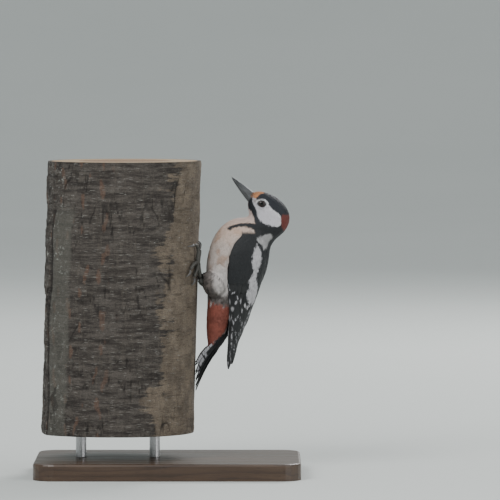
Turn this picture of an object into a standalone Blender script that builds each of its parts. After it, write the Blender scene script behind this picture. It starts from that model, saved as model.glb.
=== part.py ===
"""A great spotted woodpecker, life size, clinging to a cut length of tree trunk on a display stand.

Metres, +Z up. The origin is the middle of the underside of the stand's base. The bird clings to the
+X side of the trunk and faces it, with its left side towards -Y and its bill raised.
"""

import math

import bmesh
import bpy
from mathutils import Matrix, Vector
from mathutils.bvhtree import BVHTree

MM = 0.001
GAP = 0.0003  # kept between pieces that touch
SIDES = {"left": -1, "right": 1}

# The stand.
BASE_LENGTH = 0.252
BASE_DEPTH = 0.172
BASE_THICK = 0.016
BASE_CORNER = 0.020
BASE_CHAMFER = 0.002
ROD_RADIUS = 0.005
ROD_SPACING = 0.070

# The length of trunk, which leans a little towards the bird.
LOG_RADIUS = 0.0722
LOG_AXIS_X = -0.0445  # at the height of LOG_WAIST
LOG_WAIST = 0.160
LOG_LEAN = 0.027  # sideways over height
LOG_BOTTOM = 0.040
LOG_TOP = 0.298
LOG_LEVELS = 8
LOG_CORNERS = 48
LOG_CALM_ANGLE = 0.9  # radians either side of the bird where the trunk stays true to round
RIB_HEADING = math.radians(-146)
RIB_HEIGHT = 0.0045
RIB_HALF_ANGLE = math.radians(13)
RIB_TOP = 0.250
RIB_FADE = 0.030

# Stations of the body from the root of the bill to the root of the tail, in millimetres: the point on
# the upper outline (x, z), the point on the lower outline (x, z), and half the width.
BODY_STATIONS = {
    "bill_root": ((82.7, 268.3), (75.6, 258.6), 4.9),
    "forehead": ((87.6, 268.6), (76.0, 254.4), 8.3),
    "eye": ((94.4, 267.1), (76.6, 250.6), 11.1),
    "crown": ((102.4, 263.6), (77.0, 247.8), 12.8),
    "hind_crown": ((109.9, 256.9), (77.0, 246.0), 13.9),
    "nape": ((114.7, 248.5), (75.8, 244.9), 14.1),
    "hind_neck": ((115.0, 239.4), (72.5, 243.9), 14.2),
    "neck": ((110.3, 230.6), (65.2, 243.2), 15.3),
    "collar": ((102.6, 223.8), (56.9, 240.0), 17.6),
    "shoulder": ((97.8, 217.0), (48.8, 233.2), 20.3),
    "upper_breast": ((96.3, 208.6), (42.3, 222.4), 22.4),
    "breast": ((94.9, 199.3), (38.3, 209.4), 23.4),
    "waist": ((91.9, 189.2), (36.6, 196.6), 23.0),
    "belly": ((86.8, 179.0), (36.8, 183.6), 21.4),
    "flank": ((79.8, 168.2), (37.7, 171.0), 18.8),
    "hind_flank": ((71.9, 156.4), (37.7, 159.4), 15.6),
    "vent": ((64.2, 144.4), (37.0, 148.0), 12.4),
    "under_tail": ((57.4, 133.0), (37.0, 136.6), 9.6),
    "tail_root": ((49.9, 121.8), (37.9, 125.6), 7.2),
}
STATION_NAMES = list(BODY_STATIONS)
ROUND_SIDES = 26
RINGS_PER_STATION = 2
FULLNESS = 0.92  # below 1 squares a section's shoulders a little

# Eyes.
EYE_RADIUS = 0.0054
EYE_PLACE = (89.2, 7.75, 257.3)  # distance from the mid-plane in the middle, mm

# The bill, in millimetres.
BILL_TIP = (60.2, 282.4)
CULMEN_ROOT = (82.0, 268.0)
TOMIUM_ROOT = (77.8, 261.7)
GONYS_ROOT = (75.5, 258.8)
BILL_HALF_WIDTH = 4.3
BILL_TIP_HALF_WIDTH = 0.55
BILL_BOW = 0.40
BILL_TIP_DEPTH = 0.5
LOWER_SHORTER = 0.045  # share by which the lower half falls short of the tip
LOWER_NARROWER = 0.9
BILL_ROWS = 7
UPPER_PROFILE = ((1.0, 0.0), (0.93, 0.22), (0.62, 0.60), (0.34, 0.88), (0.0, 1.0))  # shares (up, out)
LOWER_PROFILE = ((0.0, 0.0), (0.08, 0.26), (0.40, 0.66), (0.72, 0.90), (1.0, 1.0))

# Stations of a folded wing from the shoulder to the tip of the longest quill, in millimetres: front edge
# (x, z), rear edge (x, z), the distance from the mid-plane at the widest and at the rear edge, thickness.
WING_STATIONS = {
    "shoulder_top": ((72.6, 229.8), (80.0, 230.0), 18.4, 16.6, 0.9),
    "wrist": ((63.6, 221.8), (86.6, 222.4), 22.6, 15.6, 2.2),
    "upper_coverts": ((58.8, 212.2), (89.0, 213.0), 26.0, 15.0, 3.2),
    "middle_coverts": ((57.0, 200.2), (89.4, 200.4), 27.4, 13.6, 3.2),
    "greater_coverts": ((56.4, 186.0), (88.4, 186.4), 27.2, 11.2, 3.0),
    "secondaries": ((56.4, 172.0), (85.2, 172.6), 25.4, 7.4, 2.6),
    "inner_quills": ((56.8, 158.0), (80.8, 160.2), 22.6, 5.2, 2.3),
    "tertial_end": ((56.8, 144.0), (75.6, 146.2), 19.6, 4.4, 2.0),
    "secondary_end": ((56.2, 133.5), (70.7, 134.4), 17.0, 4.4, 1.8),
    "step": ((56.0, 128.0), (66.9, 128.8), 15.6, 5.2, 1.5),
    "quills": ((55.9, 116.0), (65.0, 116.2), 13.4, 6.0, 1.3),
    "outer_quills": ((56.1, 106.0), (62.0, 106.2), 11.6, 7.6, 1.1),
    "tip": ((57.0, 98.7), (57.9, 98.7), 10.2, 9.6, 0.8),
}
WING_COLUMNS = 10
WING_CLEARANCE = 0.0012
WING_EDGE_THICK = 0.55
WING_FIRST_TURN = math.radians(-24)  # a section runs round from here to a right angle

# The tail: five stiff feathers a side, arched like a roof, the middle pair longest, with their tips on
# the bark. Lengths in millimetres.
TAIL_PAIRS = 5
TAIL_TIP_HEIGHTS = (80.0, 83.5, 89.0, 96.0, 104.5)
TAIL_SPREAD = math.radians(74)  # how far round the arch the outermost feather sits
TAIL_FIRST = 0.35  # the middle pair stands this share of a step off the mid-plane
TAIL_ROOT_ARCH = (7.4, 9.5)  # half width and depth
TAIL_ROOT_LAYER = 1.1
TAIL_TIP_HALF_WIDTH = 15.0
TAIL_TIP_LIFT = 1.0
TAIL_HALF_WIDTHS = (5.0, 5.0, 4.6, 3.9, 3.0)
TAIL_THICK = 0.6
TAIL_ROOF = 1.2  # how far the edges of a feather fall, in half thicknesses
TAIL_ROWS = 5
TAIL_SAG = 1.3
TAIL_WIDEST = 0.4  # shares along a feather
TAIL_POINT_START = 0.6
TAIL_POINT_TAPER = 0.82
TAIL_COVERT_END = (38.0, 105.5)
TAIL_COVERT_TAPER = 0.90
TAIL_COVERT_ROWS = 3

# Legs, in millimetres; y is the distance from the mid-plane.
SHIN_PATH = ((50.0, 10.0, 176.0), (44.0, 12.2, 181.6), (37.8, 13.2, 187.4))
SHIN_RADII = (10.8, 11.6, 12.0, 11.8, 11.0, 9.4, 6.8)
FOOT_PATH = (
    (38.5, 12.4, 181.0),
    (33.8, 13.6, 181.0),
    (31.3, 15.2, 185.4),
    (29.4, 19.0, 194.0),
    (28.4, 21.4, 200.6),
)
FOOT_RADII = (2.0, 2.3, 2.0, 1.7, 2.4)
TOES = {
    "inner_front": ((29.2, 19.2, 205.6), (30.0, 17.6, 209.8), (29.9, 16.8, 212.8)),
    "outer_front": ((28.4, 23.0, 206.5), (28.8, 23.2, 213.5), (27.6, 26.0, 218.2), (25.2, 30.4, 219.2)),
    "side": ((27.0, 26.0, 202.2), (24.6, 30.6, 200.6), (22.0, 34.4, 196.6)),
    "hind": ((27.6, 23.4, 196.0), (26.2, 25.6, 192.4), (25.4, 26.8, 189.0)),
}
CLAW_TURNS = {  # the way each claw sets off, from its toe's end, as (around the trunk, up)
    "inner_front": (0.10, 0.99),
    "outer_front": (0.99, -0.12),
    "side": (0.60, -0.80),
    "hind": (0.42, -0.91),
}
TOE_RADII = (1.9, 1.65, 1.5, 1.45, 1.25)
CLAW_LENGTH = 7.0
CLAW_START = 2.0
CLAW_RADIUS = 1.05
CLAW_TIP_RADIUS = 0.28
CLAW_HOOK = 1.1  # how high a claw arches off the bark
CLAW_ROWS = 5
LIMB_SIDES = 10
SWELLING = 1.3  # cutters are swollen by the gap times this, so that bevelled corners stay clear too


def material(name, colour, roughness, metallic=0.0):
    made = bpy.data.materials.new(name)
    made.use_nodes = True
    shader = made.node_tree.nodes["Principled BSDF"]
    shader.inputs["Base Color"].default_value = (*colour, 1.0)
    shader.inputs["Roughness"].default_value = roughness
    shader.inputs["Metallic"].default_value = metallic
    return made


def clear_scene():
    for old in list(bpy.data.objects):
        bpy.data.objects.remove(old, do_unlink=True)


def add_object(name, mesh, finish, smooth_angle=40):
    mesh.materials.append(finish)
    mesh.shade_smooth()
    mesh.set_sharp_from_angle(angle=math.radians(smooth_angle))
    made = bpy.data.objects.new(name, mesh)
    bpy.context.scene.collection.objects.link(made)
    return made


def loft(name, rings, finish):
    """A closed solid through rings of equally many points, capped at both ends. One point makes a tip."""
    form = bmesh.new()
    loops = [[form.verts.new(p) for p in ring] for ring in rings]
    for here, there in zip(loops, loops[1:]):
        sides = max(len(here), len(there))
        for k in range(sides):
            quad = [here[k % len(here)], here[(k + 1) % len(here)]]
            quad += [there[(k + 1) % len(there)], there[k % len(there)]]
            form.faces.new(list(dict.fromkeys(quad)))
    for end in (loops[0], loops[-1]):
        if len(end) > 2:
            form.faces.new(end)
    bmesh.ops.triangulate(form, faces=form.faces)
    bmesh.ops.recalc_face_normals(form, faces=form.faces)
    mesh = bpy.data.meshes.new(name)
    form.to_mesh(mesh)
    form.free()
    return add_object(name, mesh, finish)


def smooth_between(values, at):
    """A smooth curve through evenly numbered values, read at a place such as 2.4."""
    low = min(int(at), len(values) - 2)
    share = at - low
    a, b, c, d = (values[min(max(low + k, 0), len(values) - 1)] for k in (-1, 0, 1, 2))
    slope_in, slope_out = (c - a) * 0.5, (d - b) * 0.5
    cube, square = share**3, share**2
    return (
        b * (2 * cube - 3 * square + 1)
        + slope_in * (cube - 2 * square + share)
        + c * (3 * square - 2 * cube)
        + slope_out * (cube - square)
    )


def upright(point, away=0.0):
    """A point of the side view, in mm, as a place in metres."""
    return Vector((point[0], away, point[1])) * MM


UPPER_LINE = [upright(upper) for upper, _, _ in BODY_STATIONS.values()]
LOWER_LINE = [upright(lower) for _, lower, _ in BODY_STATIONS.values()]
HALF_WIDTHS = [width * MM for _, _, width in BODY_STATIONS.values()]


def body_ring(at, shift=0.0):
    """The section of the body at a station number, moved along the body by shift."""
    top, foot = smooth_between(UPPER_LINE, at), smooth_between(LOWER_LINE, at)
    middle, half = (top + foot) / 2, (top - foot) / 2
    along = Vector((0, 1, 0)).cross(half).normalized()
    width = smooth_between(HALF_WIDTHS, at)
    ring = []
    for k in range(ROUND_SIDES):
        turn = 2 * math.pi * k / ROUND_SIDES
        up, out = math.cos(turn), math.sin(turn)
        up, out = (math.copysign(abs(x) ** FULLNESS, x) for x in (up, out))
        ring.append(middle + half * up + Vector((0, width * out, 0)) + along * shift)
    return ring


def body_length(name, first, last, finish):
    """One length of the body between two named stations, cut clear of its neighbours."""
    start, end = STATION_NAMES.index(first), STATION_NAMES.index(last)
    rings = (end - start) * RINGS_PER_STATION
    places = [start + k / RINGS_PER_STATION for k in range(rings + 1)]
    shifts = [0.0] * len(places)
    shifts[0] = GAP / 2 if start else 0.0
    shifts[-1] = -GAP / 2
    return loft(name, [body_ring(at, s) for at, s in zip(places, shifts)], finish)


def boolean(target, cutter, operation):
    """Cuts or joins the cutter for good, so that the part stays a plain mesh."""
    step = target.modifiers.new(operation.lower(), "BOOLEAN")
    step.operation = operation
    step.solver = "EXACT"
    step.object = cutter
    bpy.context.view_layer.update()
    result = target.evaluated_get(bpy.context.evaluated_depsgraph_get())
    mesh = bpy.data.meshes.new_from_object(result)
    target.modifiers.clear()
    target.data = mesh
    bpy.data.objects.remove(cutter, do_unlink=True)


def ball(name, place, radius, finish, segments=14, rings=8):
    form = bmesh.new()
    bmesh.ops.create_uvsphere(form, u_segments=segments, v_segments=rings, radius=radius)
    turn = Matrix.Rotation(math.pi / 2, 4, "X")
    bmesh.ops.transform(form, matrix=Matrix.Translation(place) @ turn, verts=form.verts)
    mesh = bpy.data.meshes.new(name)
    form.to_mesh(mesh)
    form.free()
    return add_object(name, mesh, finish)


def make_eyes(head, finish):
    for side, sign in SIDES.items():
        x, away, z = EYE_PLACE
        place = Vector((x, sign * away, z)) * MM
        socket = ball("socket", place, EYE_RADIUS + GAP, finish)
        boolean(head, socket, "DIFFERENCE")
        ball(f"eye_{side}", place, EYE_RADIUS, finish)


def bill_section(top, foot, half_width, profile):
    """A section of one half of the bill: flat where the halves meet and ridged on the other side."""
    rise = top - foot
    across = Vector((0, half_width, 0))
    right = [foot + rise * up + across * out for up, out in profile]
    left = [foot + rise * up - across * out for up, out in reversed(profile[1:])]
    return right + left


def make_bill(finish):
    """Straight halves that taper to a chisel edge, and stop just clear of the face."""
    tip = upright(BILL_TIP)
    culmen, tomium, gonys = (upright(p) for p in (CULMEN_ROOT, TOMIUM_ROOT, GONYS_ROOT))
    ahead = (tip - tomium).normalized()
    parting = ahead.cross(Vector((0, 1, 0))) * GAP / 2
    if parting.z < 0:
        parting = -parting
    upper, lower = [], []
    for k in range(BILL_ROWS + 1):
        share = k / BILL_ROWS
        bow = BILL_BOW * MM * math.sin(math.pi * share)
        width = (BILL_HALF_WIDTH + (BILL_TIP_HALF_WIDTH - BILL_HALF_WIDTH) * share**0.8) * MM
        seam = tomium.lerp(tip, share) + ahead * GAP * (1 - share)
        top = culmen.lerp(tip, share) + Vector((0, 0, bow)) + ahead * GAP * (1 - share)
        top.z = max(top.z, seam.z + BILL_TIP_DEPTH * MM)
        upper.append(bill_section(top, seam + parting, width, UPPER_PROFILE))
        short = share * (1 - LOWER_SHORTER)
        seam = tomium.lerp(tip, short) - parting + ahead * GAP
        foot = gonys.lerp(tip, short) + ahead * GAP
        foot -= (culmen - gonys).normalized() * (bow + 0.25 * MM * share)
        lower.append(bill_section(seam, foot, width * LOWER_NARROWER, LOWER_PROFILE))
    loft("bill_upper", upper, finish)
    loft("bill_lower", lower, finish)


def lift_clear(place, away, trunk_tree, clearance):
    """Moves a place outwards until it is clear of the trunk."""
    for _ in range(4):
        near, normal, _, _ = trunk_tree.find_nearest(place)
        height = (place - near).dot(normal)
        if height < clearance:
            place = place + away * (clearance - height)
    return place


def make_wing(side, sign, trunk_tree, finish):
    """A folded wing: a thin shell with tapered edges that wraps the trunk's side and runs on past it."""
    rings = []
    for front, rear, widest, away_rear, thick in WING_STATIONS.values():
        front, rear = upright(front), upright(rear)
        outer, inner = [], []
        for k in range(WING_COLUMNS + 1):
            turn = WING_FIRST_TURN + (math.pi / 2 - WING_FIRST_TURN) * k / WING_COLUMNS
            start = math.sin(WING_FIRST_TURN)
            place = front.lerp(rear, (math.sin(turn) - start) / (1 - start))
            place.y = sign * (away_rear + (widest - away_rear) * math.cos(turn)) * MM
            narrow = (widest - away_rear) * MM / (rear - front).length
            out = Vector((math.sin(turn) * narrow, sign * math.cos(turn), 0)).normalized()
            thickness = thick * (0.3 + 0.7 * math.sin(math.pi * k / WING_COLUMNS))
            depth = max(WING_EDGE_THICK, thickness) * MM
            place = lift_clear(place, out, trunk_tree, depth + WING_CLEARANCE)
            outer.append(place)
            inner.append(place - out * depth)
        rings.append(outer + inner[::-1])
    return loft(f"wing_{side}", rings, finish)


def log_middle(z):
    return LOG_AXIS_X + (z - LOG_WAIST) * LOG_LEAN


def log_radius(heading, z):
    """The trunk is a little out of round, with one raised rib low on its left."""
    out_of_round = 0.0012 * math.sin(2 * heading + 0.6) + 0.0008 * math.sin(5 * heading + 9 * z)
    calm = 1 - math.exp(-((heading / LOG_CALM_ANGLE) ** 2))
    off = math.remainder(heading - RIB_HEADING, 2 * math.pi) / RIB_HALF_ANGLE
    fade = min(1.0, max(0.0, (RIB_TOP - z) / RIB_FADE))
    return LOG_RADIUS + out_of_round * calm + RIB_HEIGHT * math.exp(-off * off) * fade


def log_surface(away, z, lift):
    """The place on the bark on the bird's side, at a distance from the mid-plane, lifted off it."""
    heading = math.asin(away / LOG_RADIUS)
    reach = log_radius(heading, z) + lift
    return Vector((log_middle(z) + reach * math.cos(heading), reach * math.sin(heading), z))


def make_log(finish):
    rings = []
    for k in range(LOG_LEVELS + 1):
        z = LOG_BOTTOM + (LOG_TOP - LOG_BOTTOM) * k / LOG_LEVELS
        ring = []
        for j in range(LOG_CORNERS):
            heading = 2 * math.pi * j / LOG_CORNERS
            reach = log_radius(math.remainder(heading, 2 * math.pi), z)
            x = log_middle(z) + reach * math.cos(heading)
            ring.append(Vector((x, reach * math.sin(heading), z)))
        rings.append(ring)
    return loft("perch_log", rings, finish)


def limb(name, path, radii, finish, sides=LIMB_SIDES, flatten=1.0):
    """A round limb through points, with its own radius at each, and rounded ends."""
    def frame(k):
        ahead = path[min(k + 1, len(path) - 1)] - path[max(k - 1, 0)]
        ahead.normalize()
        across = ahead.cross(Vector((0, 0, 1)) if abs(ahead.z) < 0.9 else Vector((1, 0, 0)))
        across.normalize()
        return ahead, across, ahead.cross(across)

    def ring(centre, k, radius):
        _, across, up = frame(k)
        turns = (2 * math.pi * j / sides for j in range(sides))
        return [centre + (across * math.cos(t) + up * math.sin(t) * flatten) * radius for t in turns]

    first, last = frame(0)[0], frame(len(path) - 1)[0]
    rings = [[path[0] - first * radii[0] * 0.7]]
    rings.append(ring(path[0] - first * radii[0] * 0.35, 0, radii[0] * 0.75))
    rings += [ring(p, k, radii[k]) for k, p in enumerate(path)]
    rings.append(ring(path[-1] + last * radii[-1] * 0.35, len(path) - 1, radii[-1] * 0.75))
    rings.append([path[-1] + last * radii[-1] * 0.7])
    return loft(name, rings, finish)


def curve_through(points, steps):
    """Places along a smooth curve through the points."""
    count = (len(points) - 1) * steps
    return [smooth_between(points, k / steps) for k in range(count + 1)]


def on_side(point, sign):
    return Vector((point[0], sign * point[1], point[2])) * MM


def make_claw(name, toe_end, turn, finish):
    """A hooked claw that sets off along the bark and bends down to its surface."""
    sign = math.copysign(1, toe_end.y)
    path, radii = [], []
    middle = Vector((log_middle(toe_end.z), 0, toe_end.z))
    spoke = toe_end - middle
    heading = math.atan2(spoke.y, spoke.x)
    height = spoke.length
    for k in range(CLAW_ROWS + 1):
        share = k / CLAW_ROWS
        along = (CLAW_START + CLAW_LENGTH * share) * MM
        radius = (CLAW_RADIUS * (1 - share) ** 0.75 + CLAW_TIP_RADIUS) * MM
        place_heading = heading + sign * along * turn[0] / LOG_RADIUS
        z = toe_end.z + along * turn[1]
        bark = log_radius(place_heading, z) + radius + GAP
        above = max(0.0, height + 0.2 * MM - bark) * (1 - share**2)
        reach = bark + above + CLAW_HOOK * MM * math.sin(math.pi * share)
        out = Vector((math.cos(place_heading), math.sin(place_heading), 0))
        path.append(Vector((log_middle(z), 0, z)) + out * reach)
        radii.append(radius)
    return limb(name, path, radii, finish, sides=6, flatten=1.15)


def make_leg(side, sign, trunk, skin, feathers, horn):
    """Feathered shin, bare scaly foot, and four clawed toes, two of them turned back."""
    shin_path = curve_through([on_side(p, sign) for p in SHIN_PATH], 3)
    shin = limb(f"shin_{side}", shin_path, [r * MM for r in SHIN_RADII], feathers, sides=14)
    cut_clear(shin, trunk)
    foot_path = [on_side(p, sign) for p in FOOT_PATH]
    foot = limb(f"foot_{side}", foot_path, [r * MM for r in FOOT_RADII], skin)
    cut_clear(foot, shin)
    for toe, places in TOES.items():
        path = curve_through([foot_path[-1]] + [on_side(p, sign) for p in places], 2)
        radii = [smooth_between([r * MM for r in TOE_RADII], k / 2) for k in range(len(path))]
        for place, radius in zip(path, radii):
            floor = log_surface(abs(place.y), place.z, radius + GAP)
            place.x = max(place.x, floor.x)
        boolean(foot, limb("toe", path, radii, skin, sides=7), "UNION")
        make_claw(f"claw_{side}_{toe}", path[-1], CLAW_TURNS[toe], horn)


def cut_clear(target, neighbour):
    """Takes the neighbour, swollen by the gap, out of the target."""
    form = bmesh.new()
    form.from_mesh(neighbour.data)
    form.normal_update()
    for vert in form.verts:
        vert.co += vert.normal * GAP * SWELLING
    mesh = bpy.data.meshes.new("swollen")
    form.to_mesh(mesh)
    form.free()
    cutter = bpy.data.objects.new("swollen", mesh)
    bpy.context.scene.collection.objects.link(cutter)
    boolean(target, cutter, "DIFFERENCE")


def make_tail_feather(sign, number, finish):
    """A stiff pointed feather in its place on the arch of the tail."""
    top, bottom = upright(BODY_STATIONS["tail_root"][0]), upright(BODY_STATIONS["tail_root"][1])
    down = (bottom - top).normalized()
    across = Vector((0, sign, 0))
    turn = TAIL_SPREAD * (number + TAIL_FIRST) / (TAIL_PAIRS - 1 + TAIL_FIRST)
    half_width, depth = (size * MM for size in TAIL_ROOT_ARCH)
    layer = (TAIL_ROOT_LAYER + 0.12 * sign) * MM  # the right one of a pair lies under the left one
    root = top + down * (layer + depth * (1 - math.cos(turn))) + across * half_width * math.sin(turn)
    tip_away = TAIL_TIP_HALF_WIDTH * math.sin(turn) * MM
    tip_height = (TAIL_TIP_HEIGHTS[number] + 0.5 * sign) * MM
    tip = log_surface(tip_away, tip_height, (TAIL_TIP_LIFT - 0.1 * sign) * MM)
    tip.y = sign * tip_away
    ahead = (tip - root).normalized()
    rings = []
    for k in range(TAIL_ROWS + 1):
        share = k / TAIL_ROWS
        widening = 0.6 + 0.4 * min(1.0, share / TAIL_WIDEST)
        point = max(0.0, (share - TAIL_POINT_START) / (1 - TAIL_POINT_START))
        half = TAIL_HALF_WIDTHS[number] * MM * widening * (1 - TAIL_POINT_TAPER * point**1.5)
        roll = turn * (1 - 0.45 * share)
        blade = across * math.cos(roll) + down * math.sin(roll)
        blade = (blade - ahead * blade.dot(ahead)).normalized()
        face = blade.cross(ahead) * sign
        face *= math.copysign(1.0, -face.dot(down)) * TAIL_THICK * MM / 2
        centre = root.lerp(tip, share) + down * TAIL_SAG * MM * math.sin(math.pi * share) * math.cos(turn)
        edge = face * -TAIL_ROOF
        rings.append(
            [
                centre - blade * half + face + edge,
                centre + face,
                centre + blade * half + face + edge,
                centre + blade * half - face + edge,
                centre - face,
                centre - blade * half - face + edge,
            ]
        )
    return loft("tail_feather", rings, finish)


def make_tail(finish):
    """The tail coverts, which taper away over the roots of the ten stiff feathers."""
    root = body_ring(len(STATION_NAMES) - 1, GAP / 2)[::2]
    middle = sum(root, Vector()) / len(root)
    reach = upright(TAIL_COVERT_END) - middle
    rings = []
    for k in range(TAIL_COVERT_ROWS + 1):
        share = k / TAIL_COVERT_ROWS
        narrow = 1 - TAIL_COVERT_TAPER * share
        rings.append([middle + reach * share + (p - middle) * narrow for p in root])
    tail = loft("tail", rings, finish)
    for number in range(TAIL_PAIRS):
        for sign in SIDES.values():
            boolean(tail, make_tail_feather(sign, number, finish), "UNION")
    return tail


def make_stand(wood, metal):
    form = bmesh.new()
    bmesh.ops.create_cube(form, size=1.0)
    size = Matrix.Diagonal((BASE_LENGTH, BASE_DEPTH, BASE_THICK, 1.0))
    place = Matrix.Translation((0, 0, BASE_THICK / 2))
    bmesh.ops.transform(form, matrix=place @ size, verts=form.verts)
    upright_edges = [e for e in form.edges if abs(e.verts[0].co.z - e.verts[1].co.z) > BASE_THICK / 2]
    bmesh.ops.bevel(form, geom=upright_edges, offset=BASE_CORNER, segments=6, affect="EDGES", profile=0.5)
    rim = [
        e
        for e in form.edges
        if all(v.co.z > BASE_THICK * 0.99 for v in e.verts) and e.calc_face_angle(0) > 1
    ]
    bmesh.ops.bevel(form, geom=rim, offset=BASE_CHAMFER, segments=2, affect="EDGES", profile=0.5)
    mesh = bpy.data.meshes.new("stand_base")
    form.to_mesh(mesh)
    form.free()
    add_object("stand_base", mesh, wood, smooth_angle=30)
    for k, offset in enumerate((-0.5, 0.5), start=1):
        x = log_middle(LOG_BOTTOM) + offset * ROD_SPACING
        bottom, top = BASE_THICK + GAP, LOG_BOTTOM - GAP
        form = bmesh.new()
        bmesh.ops.create_cone(
            form, cap_ends=True, segments=24, radius1=ROD_RADIUS, radius2=ROD_RADIUS, depth=top - bottom
        )
        bmesh.ops.translate(form, vec=(x, 0, (top + bottom) / 2), verts=form.verts)
        mesh = bpy.data.meshes.new(f"stand_rod_{k}")
        form.to_mesh(mesh)
        form.free()
        add_object(f"stand_rod_{k}", mesh, metal)


def main():
    clear_scene()
    black = material("black_feathers", (0.02, 0.021, 0.024), 0.62)
    pale = material("pale_feathers", (0.55, 0.49, 0.44), 0.8)
    grey = material("leg_skin", (0.13, 0.13, 0.13), 0.6)
    horn = material("bill_horn", (0.09, 0.09, 0.10), 0.35)
    claw_horn = material("claw_horn", (0.05, 0.05, 0.055), 0.35)
    eye = material("eye", (0.03, 0.008, 0.006), 0.06)
    bark = material("bark", (0.13, 0.105, 0.085), 0.9)
    wood = material("stand_wood", (0.10, 0.06, 0.035), 0.45)
    steel = material("stand_steel", (0.45, 0.45, 0.46), 0.3, 1.0)

    head = body_length("head", "bill_root", "hind_neck", black)
    make_eyes(head, eye)
    make_bill(horn)
    neck = body_length("neck", "hind_neck", "collar", black)
    trunk = body_length("trunk", "collar", "tail_root", pale)
    trunk_form = bmesh.new()
    trunk_form.from_mesh(trunk.data)
    trunk_form.from_mesh(neck.data)
    trunk_tree = BVHTree.FromBMesh(trunk_form)
    for side, sign in SIDES.items():
        make_wing(side, sign, trunk_tree, black)
        make_leg(side, sign, trunk, grey, pale, claw_horn)
    cut_clear(make_tail(black), trunk)
    trunk_form.free()
    make_log(bark)
    make_stand(wood, steel)


main()
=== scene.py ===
# %% [markdown]
# # A great spotted woodpecker in its feathers
# The solids give a bird its size, its pose and its outline, but a bird is mostly feathers. This lesson
# dresses the solids: one smooth skin under a coat of small vanes, wings and tail laid feather by feather, a
# horny bill, wet eyes, scaly feet, and bark and wood for what it clings to. Every place is read from the
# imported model, so nothing here moves or resizes the bird. Lengths in the tables are in millimetres, and the
# scene is in metres.

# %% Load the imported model
import math

import bmesh
import bpy
import numpy as np
from mathutils import Matrix, Vector
from mathutils.bvhtree import BVHTree
from mathutils.kdtree import KDTree


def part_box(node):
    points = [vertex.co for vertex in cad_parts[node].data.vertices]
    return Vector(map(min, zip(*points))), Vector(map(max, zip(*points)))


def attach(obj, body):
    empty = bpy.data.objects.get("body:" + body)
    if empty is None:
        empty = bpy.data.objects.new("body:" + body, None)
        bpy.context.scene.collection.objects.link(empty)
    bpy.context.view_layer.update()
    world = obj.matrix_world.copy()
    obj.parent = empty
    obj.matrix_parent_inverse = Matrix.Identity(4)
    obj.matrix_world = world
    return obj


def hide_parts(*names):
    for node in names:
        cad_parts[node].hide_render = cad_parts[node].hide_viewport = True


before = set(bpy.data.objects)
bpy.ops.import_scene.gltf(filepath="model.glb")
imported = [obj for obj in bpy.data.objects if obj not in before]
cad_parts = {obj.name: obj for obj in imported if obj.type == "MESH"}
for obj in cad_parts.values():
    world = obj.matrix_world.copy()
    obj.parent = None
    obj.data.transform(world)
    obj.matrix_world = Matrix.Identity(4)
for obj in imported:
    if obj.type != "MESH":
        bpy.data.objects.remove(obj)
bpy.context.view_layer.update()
MM = 0.001
SIDES = {"left": -1, "right": 1}
print("nodes in the frame:", len(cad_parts))

# %% [markdown]
# A museum shows a specimen from far off through a long lens, which keeps its proportions true. The
# camera stands 5 m away, a little above the bird, and looks at its left side. The lens follows from how
# wide a field it has to take in at the bird. A broad pale floor meets a pale sky of soft light, so that the
# room looks the same from every side, and three large lamps give the feathers their form.

# %% Camera
AIM = Vector((0.0779, 0.0, 0.2131))
FIELD_WIDTH = 0.475
CAMERA_DISTANCE = 5.0
CAMERA_RISE = math.radians(2.5)
SENSOR_WIDTH = 36.0

lens_data = bpy.data.cameras.new("museum_camera")
lens_data.sensor_width = SENSOR_WIDTH
lens_data.lens = SENSOR_WIDTH * CAMERA_DISTANCE / FIELD_WIDTH
camera = bpy.data.objects.new("museum_camera", lens_data)
bpy.context.scene.collection.objects.link(camera)
camera.location = AIM + CAMERA_DISTANCE * Vector((0, -math.cos(CAMERA_RISE), math.sin(CAMERA_RISE)))
camera.rotation_euler = (math.pi / 2 - CAMERA_RISE, 0, 0)
bpy.context.scene.camera = camera
print("lens:", round(lens_data.lens), "mm")


# %% Helpers for nodes
def add_node(tree, kind, inputs=(), **settings):
    """A node with its settings. Each input takes a plain value or another node's output."""
    made = tree.nodes.new(kind)
    for name, value in settings.items():
        setattr(made, name, value)
    for socket, value in dict(inputs).items():
        if isinstance(value, bpy.types.NodeSocket):
            tree.links.new(value, made.inputs[socket])
        else:
            made.inputs[socket].default_value = value
    return made


def new_material(name, roughness=0.6, **fixed):
    """A material with its Principled shader, whose fixed values are set on its own sockets."""
    made = bpy.data.materials.new(name)
    made.use_nodes = True
    shader = made.node_tree.nodes["Principled BSDF"]
    shader.inputs["Roughness"].default_value = roughness
    for socket, value in fixed.items():
        shader.inputs[socket.replace("_", " ")].default_value = value
    return made, made.node_tree, shader


def blend_colours(tree, share, first, second, mode="MIX"):
    """Mixes two colours by a share, and gives the result's socket."""
    inputs = {0: share, 6: first, 7: second}
    inputs = {k: (*value, 1.0) if isinstance(value, tuple) else value for k, value in inputs.items()}
    return add_node(tree, "ShaderNodeMix", inputs, data_type="RGBA", blend_type=mode).outputs[2]


def math_node(tree, operation, *values):
    return add_node(tree, "ShaderNodeMath", dict(enumerate(values)), operation=operation).outputs[0]


def vector_node(tree, operation, *values):
    return add_node(tree, "ShaderNodeVectorMath", dict(enumerate(values)), operation=operation).outputs


def times(tree, one, other):
    return math_node(tree, "MULTIPLY", one, other)


def plus(tree, one, other):
    return math_node(tree, "ADD", one, other)


def ramp(tree, value, low, high, first=0.0, last=1.0, kind="SMOOTHSTEP"):
    """Carries a value from one range to another, and stops at its ends."""
    inputs = {"Value": value, 1: low, 2: high, 3: first, 4: last}
    return add_node(tree, "ShaderNodeMapRange", inputs, interpolation_type=kind).outputs[0]


def even_ramp(tree, value, low, high, first=0.0, last=1.0):
    return ramp(tree, value, low, high, first, last, "LINEAR")


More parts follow.
